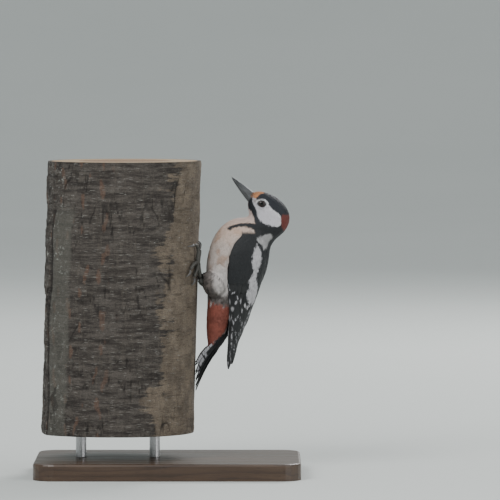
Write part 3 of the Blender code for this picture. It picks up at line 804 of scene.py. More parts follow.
def vane_blade(rows, offset, lean, length, half):
    """One blade along +Y, one long: points (x, y, rise) and its map."""
    rings, maps = [], []
    for share, wide in rows:
        y = share * length
        middle = offset * share**0.5 * 0.6 + lean * share
        rise = 1 - (1 - y) ** 2
        across = ((-1, -VANE_EDGE), (0, VANE_RIDGE), (1, -VANE_EDGE))
        ring = [(middle + side * wide * half * 0.5, y, rise + lift) for side, lift in across]
        rings.append(ring)
        maps += [(0.5 + x, y) for x, y, _ in ring]
    tip = (offset * 0.6 + lean, length, 1 - (1 - length) ** 2 - 0.03)
    points, faces = loft_parts(np.array(rings), (0.0, 0.0, -0.25), tip)
    return points, faces, np.array(maps + [(0.5, 0.0), (0.5 + tip[0], length)])


def make_vane(name, rows, blades):
    """A vane as an object of its own, kept out of the scene."""
    parts = [vane_blade(rows, *blade) for blade in blades]
    made = add_joined(name, parts, rise=[part[0][:, 2] for part in parts])
    bpy.context.scene.collection.objects.unlink(made)
    print(name, "has", sum(len(face.vertices) - 2 for face in made.data.polygons), "triangles")
    return made


soft_vane = make_vane("soft_vane", SOFT_ROWS, SOFT_BLADES)
firm_vane = make_vane("firm_vane", FIRM_ROWS, FIRM_BLADES)

# %% [markdown]
# Geometry Nodes plant the vanes. The tree scatters roots over one region of the skin, no two closer than
# the spacing, turns a vane at each to the lie and scales it to the local length, width and depth. After the
# instances are realized, every point is carried to the nearest skin and raised by its own height, which
# wraps the vanes round the body. Each root reads the marking where its tip will show, not where it grows.


# %% The tree that plants a coat
def coat_tree():
    tree = bpy.data.node_groups.new("plant_coat", "GeometryNodeTree")
    sockets = {
        "Geometry": "Geometry", "Vane": "Object", "Region": "String", "Spacing": "Float", "Density": "Float",
        "Waywardness": "Float", "Seed": "Int", "Finish": "Material",
    }
    for name, kind in sockets.items():
        tree.interface.new_socket(name, in_out="INPUT", socket_type="NodeSocket" + kind)
    tree.interface.new_socket("Geometry", in_out="OUTPUT", socket_type="NodeSocketGeometry")
    given = add_node(tree, "NodeGroupInput").outputs

    def read(name, kind="FLOAT"):
        return add_node(tree, "GeometryNodeInputNamedAttribute", {"Name": name}, data_type=kind).outputs[0]

    def vector_math(operation, *values):
        return vector_node(tree, operation, *values)[0]

    def scaled(vector, by):
        return add_node(tree, "ShaderNodeVectorMath", {0: vector, "Scale": by}, operation="SCALE").outputs[0]

    def on_ground(value, kind, at):
        inputs = {"Mesh": given["Geometry"], "Value": value, "Sample Position": at}
        return add_node(tree, "GeometryNodeSampleNearestSurface", inputs, data_type=kind).outputs["Value"]

    def keep(geometry, name, value, kind):
        inputs = {"Geometry": geometry, "Name": name, "Value": value}
        return add_node(tree, "GeometryNodeStoreNamedAttribute", inputs, data_type=kind).outputs[0]

    def random(low, high, salt, kind="FLOAT"):
        first, second, out = {"FLOAT": (2, 3, 1), "FLOAT_VECTOR": (0, 1, 0)}[kind]
        inputs = {"Seed": plus(tree, given["Seed"], salt), first: low, second: high}
        return add_node(tree, "FunctionNodeRandomValue", inputs, data_type=kind).outputs[out]

    def position():
        return add_node(tree, "GeometryNodeInputPosition").outputs[0]

    scatter = {
        "Mesh": given["Geometry"], "Distance Min": given["Spacing"], "Density Max": given["Density"],
        "Density Factor": read(given["Region"]), "Seed": given["Seed"],
    }
    scattered = add_node(tree, "GeometryNodeDistributePointsOnFaces", scatter, distribute_method="POISSON")
    stray = scaled(random((-1, -1, -1), (1, 1, 1), 1.0, "FLOAT_VECTOR"), given["Waywardness"])
    lie = vector_math("NORMALIZE", vector_math("ADD", read("lie", "FLOAT_VECTOR"), stray))
    axes = {0: read("up", "FLOAT_VECTOR"), 1: lie}
    turn = add_node(tree, "FunctionNodeAxesToRotation", axes, primary_axis="Z", secondary_axis="Y")
    length = times(tree, read("length"), random(0.82, 1.15, 2.0))
    width = times(tree, read("width"), random(0.85, 1.2, 3.0))
    size = add_node(tree, "ShaderNodeCombineXYZ", {0: width, 1: length, 2: 0.0005}).outputs[0]
    shown = vector_math("ADD", position(), scaled(lie, times(tree, length, 0.72)))
    marking = on_ground(read("plumage", "FLOAT_COLOR"), "FLOAT_COLOR", shown)
    roots = keep(scattered.outputs["Points"], "plumage", marking, "FLOAT_COLOR")
    roots = keep(roots, "tone", random(0.0, 1.0, 4.0), "FLOAT")
    vane = add_node(tree, "GeometryNodeObjectInfo", {"Object": given["Vane"], "As Instance": True})
    planting = {
        "Points": roots, "Instance": vane.outputs["Geometry"], "Rotation": turn.outputs[0], "Scale": size,
    }
    planted = add_node(tree, "GeometryNodeInstanceOnPoints", planting).outputs[0]
    realized = add_node(tree, "GeometryNodeRealizeInstances", {0: planted}).outputs[0]
    up = vector_math("NORMALIZE", on_ground(read("up", "FLOAT_VECTOR"), "FLOAT_VECTOR", position()))
    lift = times(tree, read("rise"), read("depth"))
    uneven = plus(tree, 0.9, times(tree, read("tone"), 0.2))
    foot = on_ground(position(), "FLOAT_VECTOR", position())
    wrapped = vector_math("ADD", foot, scaled(up, times(tree, lift, uneven)))
    laid = add_node(tree, "GeometryNodeSetPosition", {"Geometry": realized, "Position": wrapped}).outputs[0]
    laid = keep(laid, "soft_up", up, "FLOAT_VECTOR")
    finished = add_node(tree, "GeometryNodeSetMaterial", {"Geometry": laid, "Material": given["Finish"]})
    add_node(tree, "NodeGroupOutput", {"Geometry": finished.outputs[0]})
    return tree


plant_coat = coat_tree()
print("tree:", plant_coat.name, "with", len(plant_coat.nodes), "nodes")

# %% Give the skin what the tree reads
skin_ups = unit(normals_of(skin.data))
lie = flat_to(ahead, skin_ups)
heel_way = unit(np.array(HEEL) - np.array(KNEE)) * np.where(places[:, 1:2] < 0, (1, -1, 1), (1, 1, 1))
off_heel = np.linalg.norm(np.abs(places) - np.array(HEEL) * MM, axis=1) / MM
leggy = (thigh * ease(13.0, 6.5, off_heel))[:, None]
lie = unit(lie * (1 - leggy) + flat_to(heel_way, skin_ups) * leggy)
eye_fade = 0.45 + 0.55 * ease(LID_OPENING + 0.8, LID_OPENING + 4.0, off_eye(places))
length = from_table(FEATHER_LENGTH) * eye_fade * (1 - thigh) + THIGH_LENGTH * thigh
width = from_table(FEATHER_WIDTH) * (0.6 + 0.4 * eye_fade) * (1 - thigh) + THIGH_WIDTH * thigh

wings_tree = tree_of("wing_left", "wing_right")
covered = np.zeros(len(places))
for k in np.flatnonzero((run > 0.045) & (np.abs(places[:, 1]) > 0.004)).tolist():
    aim = Vector((skin_ups[k][0] * 0.3, math.copysign(1.0, places[k][1]), skin_ups[k][2] * 0.3)).normalized()
    covered[k] = wings_tree.ray_cast(Vector(places[k]), aim, 0.012)[0] is not None
for _ in range(14):
    covered = neighbour_means(covered)
store_plumage(skin.data, paint(skin_colours, ease(0.7, 0.95, covered), BLACK))
unwrap = np.stack([np.cos(heading), np.sin(heading), run], axis=1)
sizes = {"length": length * MM, "width": width * MM, "depth": smooth_depth * MM}
store(skin.data, lie=lie, up=skin_ups, unwrap=unwrap, **sizes)
print("covered by wings:", int((covered > 0.9).sum()), "of", len(covered), "points")

# %% [markdown]
# The coat is planted region by region, each as its own piece, because a plume of the breast and a bristle
# of the face want different spacings. The unwrap of each piece fills its own map, and each vane becomes a
# small patch there, at its root's place, so that a colour baked for one vane never lands on another part of
# the bird.

# %% Plant the regions
UNSEEN = 0.92  # where a wing lies this fully over the skin, no feathers grow
FLUFF = 0.70  # how far a vane takes its shading from the body's form, as loose barbs do
DENSEST = 4.0e6  # roots to a square metre, before the spacing thins them
PATCH, MAP_MARGIN = 0.003, 0.003  # of the bake map: each vane's patch, and what is left at its edges
back_share = np.cos(heading)
open_skin = (off_eye(places) > LID_OPENING + 0.75) & ~bare_foot & (covered < UNSEEN) & (thigh < 0.5)
station = run / MM
REGIONS = {  # from and to along the body, which sides, spacing in mm, vane, waywardness, slot
    "coat_face": (0.0, 22.0, (-1.0, 0.35), 0.36, soft_vane, 0.09, "pale_feathers"),
    "coat_crown": (0.0, 34.0, (0.35, 1.0), 0.42, firm_vane, 0.06, "black_feathers"),
    "coat_throat": (22.0, 48.0, (-1.0, 0.35), 0.50, soft_vane, 0.09, "pale_feathers"),
    "coat_neck": (34.0, 62.0, (0.35, 1.0), 0.50, firm_vane, 0.07, "black_feathers"),
    "coat_breast": (48.0, 84.0, (-1.0, 0.35), 0.62, soft_vane, 0.10, "pale_feathers"),
    "coat_belly": (84.0, 116.0, (-1.0, 0.35), 0.68, soft_vane, 0.11, "pale_feathers"),
    "coat_vent": (116.0, 174.0, (-1.0, 0.35), 0.72, soft_vane, 0.10, "pale_feathers"),
    "coat_back": (62.0, 168.0, (0.35, 1.0), 0.68, firm_vane, 0.07, "black_feathers"),
}


def plant(ground, name, region, spacing, vane, wayward, seed, slot):
    """Plants one region's vanes and leaves them as a plain mesh with its bake map."""
    grower = show(name, ground.data.copy())
    store(grower.data, region=region.astype(float))
    modifier = grower.modifiers.new("plant", "NODES")
    modifier.node_group = plant_coat
    inputs = {
        "Vane": vane, "Region": "region", "Spacing": spacing * MM, "Density": DENSEST, "Waywardness": wayward,
        "Seed": seed, "Finish": coat_finish,
    }
    for socket in plant_coat.interface.items_tree:
        if socket.name in inputs:
            modifier[socket.identifier] = inputs[socket.name]
    bpy.context.view_layer.update()
    mesh = bpy.data.meshes.new_from_object(grower.evaluated_get(bpy.context.evaluated_depsgraph_get()))
    grower.modifiers.clear()
    old, grower.data = grower.data, mesh
    bpy.data.meshes.remove(old)

    kept = mesh.attributes
    corners = numbers_of(mesh.loops, "vertex_index", kind=np.int32)
    unwrap = numbers_of(kept["unwrap"].data, "vector", 3)
    flat = np.stack([np.arctan2(unwrap[:, 1], unwrap[:, 0]), unwrap[:, 2]], axis=1)
    low, high = flat.min(0), flat.max(0)
    root = MAP_MARGIN + (1 - 2 * MAP_MARGIN) * (flat - low) / (high - low)
    baked = root[corners] + (numbers_of(mesh.uv_layers["vane"].uv, "vector", 2) - 0.5) * PATCH
    mesh.uv_layers.new(name="OFBake").uv.foreach_set("vector", baked.astype(np.float32).ravel())
    shade = 0.92 + 0.16 * numbers_of(kept["tone"].data, "value")
    store_plumage(mesh, numbers_of(kept["plumage"].data, "color", 4)[:, :3] * shade[:, None])
    soft_up = numbers_of(kept["soft_up"].data, "vector", 3)
    for spare in ("lie", "up", "length", "width", "depth", "unwrap", "region", "rise", "tone", "soft_up"):
        if spare in kept:
            kept.remove(kept[spare])
    mesh.shade_smooth()
    normals = unit((1 - FLUFF) * normals_of(mesh) + FLUFF * soft_up)
    mesh.normals_split_custom_set_from_vertices(normals.tolist())
    dress(grower, slot)
    print(name, ":", sum(len(face.vertices) - 2 for face in mesh.polygons), "triangles")
    return grower


for seed, (name, (start, end, (least, most), *look)) in enumerate(REGIONS.items(), 11):
    region = open_skin & (station >= start) & (station < end) & (back_share > least) & (back_share <= most)
    *look, slot = look
    plant(skin, name, region, *look, seed, slot)
on_thighs = (thigh > 0.4) & ~bare_foot & (covered < UNSEEN)
plant(skin, "coat_thighs", on_thighs, 0.66, soft_vane, 0.11, 31, "pale_feathers")

# %% [markdown]
# ## The wings
# A folded wing is a stack of shingles: soft coverts at the shoulder, firmer ones over the roots of the
# quills, then the secondaries and, longest of all, the primaries. Its surface is measured once, as a
# distance from an upright axis for each heading and height, by rays cast at the wing's solid, then
# smoothed. Over the shoulder it runs on along the neck, so that the coat can flow from one to the other.
# Any feather can then be laid on it from a root and a tip, given as a share of the way round from the front
# edge and a height.

# %% Measure the wing's surface
WING_AXIS = ((60.0, 98.0), (69.0, 200.0))  # the axis leans: x at two heights
TURN_STEP, HEIGHT_STEP = math.radians(2.5), 1.5 * MM
CAST_FROM = 0.08
SHOULDER_RISE = 9.0 * MM

right_wing, neck_tree = tree_of("wing_right"), tree_of("neck", "trunk", "head")
wing_low, wing_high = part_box("wing_right")
wing_top = wing_high.z - 0.2 * MM
wing_heights = np.arange(wing_low.z + 0.4 * MM, wing_top + SHOULDER_RISE, HEIGHT_STEP)
wing_turns = np.arange(0.0, math.radians(140), TURN_STEP)


def wing_axis(height):
    (low_x, low_z), (high_x, high_z) = WING_AXIS
    return np.interp(height / MM, (low_z, high_z), (low_x, high_x)) * MM


def cast_wing(height, turn):
    """How far the wing's outside is from its axis along a heading, or nan where there is no wing."""
    out = Vector((math.cos(turn), math.sin(turn), 0))
    start = Vector((float(wing_axis(height)), 0, height)) + out * CAST_FROM
    solid = right_wing if height < wing_top else neck_tree
    hit, _, _, reach = solid.ray_cast(start, -out, CAST_FROM)
    return CAST_FROM - reach if hit is not None else math.nan


reaches = np.array([[cast_wing(z, t) for t in wing_turns] for z in wing_heights.tolist()])
known = ~np.isnan(reaches)
top_row = int((wing_heights < wing_top).sum()) - 1
ends = [(wing_turns[row].max(), wing_turns[row].min()) for row in known[: top_row + 1]]
front_turns, rear_turns = np.array(ends + [ends[top_row - 2]] * (len(known) - top_row - 1)).T
print("wing measured at", int(known.sum()), "places, its top at", round(wing_top / MM, 1), "mm")


# %% Fill its gaps and smooth it
def blurred(grid):
    """Each value, softened by its neighbours along both ways of the grid."""
    for axis in (0, 1):
        padded = np.pad(grid, [(int(k == axis),) * 2 for k in (0, 1)], mode="edge")
        before, here, after = (np.take(padded, range(k, k + grid.shape[axis]), axis) for k in range(3))
        grid = (before + 2 * here + after) / 4
    return grid


weight = known.astype(float)
filled = np.where(known, reaches, 0.0)
for _ in range(40):
    spread, share = blurred(filled * weight), blurred(weight)
    guess = np.where(share > 1e-9, spread / np.maximum(share, 1e-9), 0)
    filled = np.where(known, reaches, guess)
    weight = np.maximum(weight, (share > 1e-9) * 0.999)
for _ in range(3):
    filled = blurred(filled)
for _ in range(4):
    ends = [np.pad(turns, 1, mode="edge") for turns in (front_turns, rear_turns)]
    front_turns, rear_turns = (np.convolve(turns, (0.25, 0.5, 0.25), "valid") for turns in ends)


# %% Find places on the wing
def wing_reach(turn, height):
    """The smoothed surface's distance from the axis."""
    row = np.clip((height - wing_heights[0]) / HEIGHT_STEP, 0, len(wing_heights) - 1.001)
    column = np.clip(turn / TURN_STEP, 0, len(wing_turns) - 1.001)
    i, j = row.astype(int), column.astype(int)
    a, b = row - i, column - j
    low = filled[i, j] * (1 - b) + filled[i, j + 1] * b
    high = filled[i + 1, j] * (1 - b) + filled[i + 1, j + 1] * b
    return low * (1 - a) + high * a


def off_axis(turn, height, lift):
    """Places on the right wing's surface, or at a lift over it, along headings from its axis."""
    reach = wing_reach(turn, height) + lift
    return np.stack([wing_axis(height) + reach * np.cos(turn), reach * np.sin(turn), height], axis=-1)


def on_wing(share, height, lift=0.0):
    """Places a share of the way round from the front edge of the wing to the rear one."""
    front, rear = (np.interp(height, wing_heights, turns) for turns in (front_turns, rear_turns))
    return off_axis(front + (rear - front) * share, height, lift)


def draped(points, lift):
    """Points carried along the wing's headings to its surface, at a lift over it."""
    turn = np.arctan2(points[..., 1], points[..., 0] - wing_axis(points[..., 2]))
    return off_axis(turn, points[..., 2], lift)


# %% [markdown]
# One flight feather is a thin closed blade: two webs that fall away a little from a raised shaft, a narrow
# root and a rounded or pointed tip. Its neighbours overlap it like roof tiles, so each blade leans, one
# edge under and one edge over, and its tip rides higher than its root. The white bars of the closed wing
# are spots on the webs. A number on each point tells how far inside a white spot it lies, and the finish
# draws the edge there.

# %% White spots of the wing
WEB_COLUMNS = (-1.0, -0.7, -0.4, -0.12, 0.0, 0.12, 0.4, 0.7, 1.0)
WEB_FALL, BLADE_THICK, SHAFT_RISE, BLADE_TILT = 0.12, 0.14, 0.07, 0.10  # in mm, the last from edge to edge
SPOT_SLENDER = 1.18
SPOT_CLEAR = ((104, 150, 166), (0.45, 0.62, 0.9))  # heights, and how clear the spots are there
WHITE_SPOTS = (  # x, z, half width, half height and lean in degrees of each white spot
    (62.1, 173.4, 1.1, 1.9, -55), (58.8, 165.0, 0.7, 2.4, 0), (66.3, 168.4, 0.9, 2.3, 10),
    (64.6, 164.0, 1.5, 1.9, -20), (69.2, 165.6, 1.0, 2.6, 0), (61.4, 158.1, 1.9, 2.1, 0),
    (72.9, 162.2, 1.3, 2.0, 0), (75.9, 160.4, 1.1, 3.2, -25), (70.3, 156.4, 0.9, 2.4, 0),
    (77.2, 154.4, 0.9, 3.2, -25), (58.2, 149.8, 0.8, 2.8, 0), (66.3, 150.6, 1.0, 2.2, -25),
    (64.4, 148.0, 1.3, 1.5, -30), (62.1, 145.2, 1.2, 2.5, 5), (68.6, 147.6, 0.7, 1.9, 0),
    (70.2, 143.8, 0.8, 2.7, -10), (73.0, 144.0, 0.9, 3.0, -20), (57.3, 134.6, 0.7, 2.8, 0),
    (60.5, 131.0, 1.1, 3.0, 0), (64.1, 134.8, 0.9, 2.0, 0), (67.1, 133.6, 0.7, 1.8, 0),
    (62.7, 119.4, 0.7, 2.6, 0), (59.1, 115.4, 1.0, 3.2, 0), (60.6, 104.2, 0.7, 1.6, 0),
    (57.0, 105.0, 0.7, 2.9, 0), (57.4, 179.4, 0.5, 2.6, 0), (58.7, 176.2, 0.8, 0.9, 0),
    (60.4, 149.8, 0.7, 2.4, -15), (75.4, 149.2, 0.8, 2.4, -22), (71.8, 140.2, 0.8, 2.2, -10),
    (68.8, 136.4, 0.7, 2.2, -12), (61.2, 138.6, 0.7, 2.0, 0), (60.2, 124.4, 0.8, 2.6, 0),
    (64.9, 128.2, 0.7, 2.2, 0), (57.2, 141.6, 0.6, 2.4, 0), (59.4, 110.2, 0.6, 2.0, 0),
)


def in_spots(points):
    """How far inside a white spot each place is, in mm; below 0 outside them."""
    best = np.full(len(points), -9.0)
    for x, z, half_width, half_height, lean in WHITE_SPOTS:
        turn = math.radians(lean)
        off_x, off_z = points[:, 0] / MM - x, points[:, 2] / MM - z
        across = (off_x * math.cos(turn) + off_z * math.sin(turn)) / half_width * SPOT_SLENDER
        along = (off_z * math.cos(turn) - off_x * math.sin(turn)) / half_height / SPOT_SLENDER
        best = np.maximum(best, (1 - np.hypot(across, along)) * half_width)
    return best * np.interp(points[:, 2] / MM, *SPOT_CLEAR)


print("white spots on a wing:", len(WHITE_SPOTS))


# %% One feather of the wing
def blade_shape(rows, root_share, tip_share, point):
    """Half widths along a feather: it widens from the root, and closes to a round or pointed tip."""
    share = np.linspace(0.02, 0.985, rows)
    opening = np.sqrt(np.clip(share / root_share, 0.05, 1))
    closing = np.clip((share - 1 + tip_share) / tip_share, 0, 1)
    return share, opening * (1 - closing**2) ** point


def blade(centre, up, half, lifts, lay=None, thick=BLADE_THICK, shaft=SHAFT_RISE, tilt=BLADE_TILT):
    """Points, faces and map of a feather along a line. Its points rise along up, or as lay carries them."""
    lay = lay or (lambda at, lift: at + up[:, None] * lift[..., None])
    ahead = unit(np.gradient(centre, axis=0))
    side = np.cross(ahead, flat_to(up, ahead))
    columns = np.array(WEB_COLUMNS)
    inner = columns[1:-1][::-1]
    fall = WEB_FALL * (1 - columns**2) + shaft * np.exp(-((columns / 0.1) ** 2)) + tilt * columns
    under = WEB_FALL * (1 - inner**2) + tilt * inner - thick
    layers = []
    for across, rise in ((columns, fall), (inner, under)):
        spread = centre[:, None] + side[:, None] * (across[None, :, None] * half[:, None, None])
        layers.append(lay(spread, lifts[:, None] + rise[None] * MM))
    rings = np.concatenate(layers, axis=1)
    root, tip = rings[0].mean(0) - ahead[0] * 0.0004, rings[-1].mean(0) + ahead[-1] * 0.0003
    points, faces = loft_parts(rings, root, tip)
    along = np.linspace(0, 1, len(centre))
    across = 0.5 + np.concatenate([columns, inner]) / 2
    flat = np.stack(np.broadcast_arrays(across[None], along[:, None]), axis=-1).reshape(-1, 2)
    return points, faces, np.vstack([flat, (0.5, 0), (0.5, 1)])


def wing_feather(root, tip, half, lift_root, lift_tip, tip_share=0.3, point=0.5, bow=0.0, row_step=1.1):
    """A feather laid on the wing from root to tip, each given as (share of the way round, height in mm)."""
    rows = max(8, int((root[1] - tip[1]) / row_step))
    share, wide = blade_shape(rows, 0.18, tip_share, point)
    around = root[0] + (tip[0] - root[0]) * share + bow * np.sin(np.pi * share)
    height = (root[1] + (tip[1] - root[1]) * share) * MM
    centre = on_wing(around, height)
    up = np.stack([centre[:, 0] - wing_axis(height), centre[:, 1], np.zeros(rows)], axis=1)
    lifts = (lift_root + (lift_tip - lift_root) * share**0.7) * MM
    return blade(centre, unit(up), wide * half * MM, lifts, draped)

# %% [markdown]
# The quills are placed one by one, by where their tips reach. The rows of coverts over them are given by
# how many feathers they hold, how long and wide those are, and where their tips reach at the front and the
# rear edge. A little seeded unevenness keeps the rows from looking printed. The soft coverts above are
# planted on a bed of their own, as the coat is on the skin.

# %% Lay the rows of a wing
COVERT_ROWS = (  # tips at the front and rear, length, count, half width, lift of the tip
    (196.4, 199.6, 13.0, 10, 3.2, -0.1), (189.0, 192.6, 15.0, 10, 3.4, -0.05),
    (180.6, 184.0, 19.0, 10, 3.5, 0.0), (171.4, 175.0, 24.0, 10, 3.5, -0.02),
)
QUILLS = (  # each row's tips, as a share of the way round and a height, then what places its feathers
    (  # primaries
        ((0.16, 99.2), (0.34, 100.8), (0.50, 104.0), (0.64, 108.2), (0.77, 113.4), (0.89, 119.6)),
        (0.10, 0.70, 188.0), 2.5, (-1.5, 0.04), (-0.35, 0.07), (0.3, 0.6),
    ),
    (  # secondaries
        ((0.20, 128.2), (0.36, 129.0), (0.52, 130.6), (0.66, 132.6), (0.79, 135.6), (0.91, 140.4)),
        (0.06, 0.86, 188.0), 3.3, (-1.15, 0.07), (-0.35, 0.07), (0.22, 0.5),
    ),
    (  # tertials
        ((0.80, 146.6), (0.88, 153.4), (0.95, 160.6), (0.97, 168.0)),
        (-0.04, 1.0, 190.0), 4.0, (-0.9, 0.08), (0.0, 0.08), (0.3, 0.5),
    ),
)


def wing_rows(random):
    """All the feathers of one wing, deepest first, in two layers."""
    quills, coverts = [], []
    for tips, (near, share, root_height), half, (low, low_step), (high, high_step), closing in QUILLS:
        for k, (around, tip) in enumerate(tips):
            root, lifts = (near + share * around, root_height), (low + low_step * k, high + high_step * k)
            quills.append(wing_feather(root, (around, tip), half, *lifts, *closing))
    for front, rear, length, count, half, lift in COVERT_ROWS:
        for k in range(count):
            around = 0.03 + 0.95 * (k + 0.5 + random.uniform(-0.12, 0.12)) / count
            tip = front + (rear - front) * around + random.uniform(-0.5, 0.5)
            root = (around - 0.03, tip + length * random.uniform(0.95, 1.08))
            size = half * random.uniform(0.94, 1.06)
            part = wing_feather(root, (around, tip), size, lift - 0.75, lift, 0.34, 0.5, row_step=0.9)
            coverts.append(part)
    return quills, coverts


print("quills in a wing:", sum(len(row[0]) for row in QUILLS), "under", len(COVERT_ROWS), "rows of coverts")


# %% The finish of barred feathers
barred_finish, tree, shader = new_material("barred_quills", 0.5, Specular_IOR_Level=0.32)
height, streak = use_barbs(tree, 40.0, 0.12)
fray = math_node(tree, "SUBTRACT", field(tree, 1300.0, 3.0, 0.5, (1, 1, 0.3)), 0.5)
edge = ramp(tree, plus(tree, number(tree, "white"), times(tree, fray, 2.0)), -0.25, 0.45)
streak = even_ramp(tree, streak, 0.25, 0.75)
dark = blend_colours(tree, streak, (0.0085, 0.009, 0.010), (0.0165, 0.017, 0.0175))
# the white of the spots and bars is painted a dim grey, as white in shade
pale = blend_colours(tree, streak, (0.20, 0.197, 0.208), (0.36, 0.353, 0.37))
rough = even_ramp(tree, edge, 0.0, 1.0, 0.55, 0.85)
finish_with(tree, shader, blend_colours(tree, edge, dark, pale), rough, height, 0.3, 0.00015)
print("finish:", barred_finish.name)


# %% Colour the wings
def whiteness(points):
    """How far inside any white of the closed wing each place is, in mm."""
    patch = np.maximum(inside("scapular", points), inside("neck_patch", points))
    return np.maximum(in_spots(points) - 0.12, patch + 0.45 * rough_field(points, 0.003, 8))


def wing_plumage(points):
    """The colours of the wing's soft coverts, which turn into the neck's over its top."""
    # the scapulars' white is dimmed here as painted shade
    pale = paint(SHADED_SCAPULAR_WHITE, ease(-1.0, 0.5, inside("neck_patch", points)), NECK_WHITE)
    pale = pale * (1 + 0.14 * rough_field(points, 0.004, 14)[:, None])
    own = paint(BLACK, ease(-0.35, 0.35, whiteness(points)), pale)
    return paint(own, ease(wing_top - 0.001, wing_top + 0.002, points[:, 2]), plumage_at(points))


def add_barred(name, parts, whites, *solids):
    made = add_joined(name, parts, barred_finish, white=whites)
    dress(made, "black_feathers", *solids)
    print(name, ":", len(parts), "feathers")


# %% Beds for the soft coverts
BED_ROWS, BED_COLUMNS = 110, 48
BED_SINK, BED_UNDER = 0.75, 1.3  # how deep the bed's face and its back lie
COVERT_DEPTH = 0.85  # how far the vanes rise over the bed
SOFT_COVERTS_FROM, SCAPULARS_FROM = 189.0, 168.0  # the heights that soft coverts reach down to
COVERT_SIZES = ((188, 212, 232), (9.5, 7.5, 5.5), (2.3, 2.0, 1.7))  # heights, and lengths and widths there
BED_ROUND = math.radians(120)  # how far round the body the bed's unwrap reaches


def both_faces(front, back, sign):
    """Numbers of a bed's two faces in the order of its points, turned to one side of the bird."""
    grid = np.concatenate([front, back[:, ::-1]], axis=1).reshape(-1, 3)
    return np.vstack([grid, grid[:1], grid[-1:]]) * (1, sign, 1)


def wing_bed(side, sign):
    """A closed sheet under the wing's feathers, with the numbers that the coat's tree reads."""
    shares = np.linspace(0.01, 0.985, BED_COLUMNS)
    heights = np.linspace(wing_heights[-2], wing_heights[4], BED_ROWS)
    face, back = (
        np.array([on_wing(shares, np.full(BED_COLUMNS, z), -sink * MM) for z in heights])
        for sink in (BED_SINK, BED_UNDER)
    )
    rings = np.concatenate([face, back[:, ::-1]], axis=1)
    points, faces = loft_parts(rings, rings[0].mean(0), rings[-1].mean(0))
    colours = wing_plumage(points)
    points = points * (1, sign, 1)
    down = np.gradient(face, axis=0)
    up = unit(np.cross(np.gradient(face, axis=1), down))
    up = up * np.sign((up * (face - [wing_axis(0.2), 0, 0.2])).sum(2, keepdims=True))
    high = points[:, 2] / MM
    own_map = np.append(np.tile(np.append(shares, shares[::-1]), BED_ROWS) * BED_ROUND, (0, 0))
    bed = add_mesh(f"wing_{side}_bed", points, faces, skin_finish)
    store_plumage(bed.data, colours)
    length, width = (np.interp(high, COVERT_SIZES[0], sizes) * MM for sizes in COVERT_SIZES[1:])
    store(
        bed.data, lie=both_faces(unit(down), unit(down), sign), up=both_faces(up, up, sign), length=length,
        width=width, depth=np.full(len(points), COVERT_DEPTH * MM),
        unwrap=np.stack([np.cos(own_map), np.sin(own_map), points[:, 2]], axis=1),
    )
    dress(bed, "black_feathers")
    on_top = np.append(np.tile(np.arange(2 * BED_COLUMNS) < BED_COLUMNS, BED_ROWS), (False, False))
    scapulars = (inside("scapular", points) > -1.2) & (high > SCAPULARS_FROM)
    return bed, on_top & ((high > SOFT_COVERTS_FROM) | scapulars) & (high < wing_heights[-3] / MM)


# %% Build both wings
for side, sign in SIDES.items():
    rows = wing_rows(np.random.default_rng(40))
    quills, coverts = ([(points * (1, sign, 1), *rest) for points, *rest in layer] for layer in rows)
    add_barred(f"wing_{side}_quills", quills, [whiteness(part[0]) for part in quills], f"wing_{side}")
    add_barred(f"wing_{side}_coverts", coverts, [whiteness(part[0]) for part in coverts])
    bed, soft = wing_bed(side, sign)
    plant(bed, f"coat_wing_{side}", soft, 0.80, firm_vane, 0.08, 40, "black_feathers")

# %% [markdown]
# ## The tail
# A woodpecker props itself on its tail: ten stiff, pointed feathers with strong shafts, arched like a roof,
# their tips pressed on the bark. The middle pair is longest and black, and the outer ones are white, barred
# with black. Each runs from its place on the arch at the root of the tail to the bark, where a cast ray
# finds the log. Its root lies under the coat, which runs on over the core.

# %% Lay the tail
log_tree = tree_of("perch_log")
TAIL_PAIRS = 5
TAIL_TIP_HEIGHTS = (80.2, 83.7, 89.2, 96.2, 104.7)
TAIL_SPREAD = math.radians(74)
TAIL_TOP, TAIL_BOTTOM = np.array(((49.9, 0, 121.8), (37.9, 0, 125.6))) * MM
TAIL_ROOT_WIDTH, TAIL_ROOT_DEPTH = 5.8, 8.6
TAIL_TIP_WIDTH, TAIL_OFF_BARK = 15.0, 0.9
TAIL_HALF_WIDTHS = (5.0, 5.0, 4.6, 3.9, 3.0)
TAIL_ROWS, TAIL_BOW = 42, 1.3
TAIL_BLADE = (0.28, 0.30, 0.08)  # thickness, rise of the shaft and tilt
TAIL_WHITE = {  # the barred pairs: where their white starts and ends, how much it is, how far it narrows
    4: (-1, 0.86, 0.75, 0), 3: (0.30, 0.88, 0.45, 0), 2: (0.62, 0.90, -0.45, 4.0),
}
tail_down = unit(TAIL_BOTTOM - TAIL_TOP)


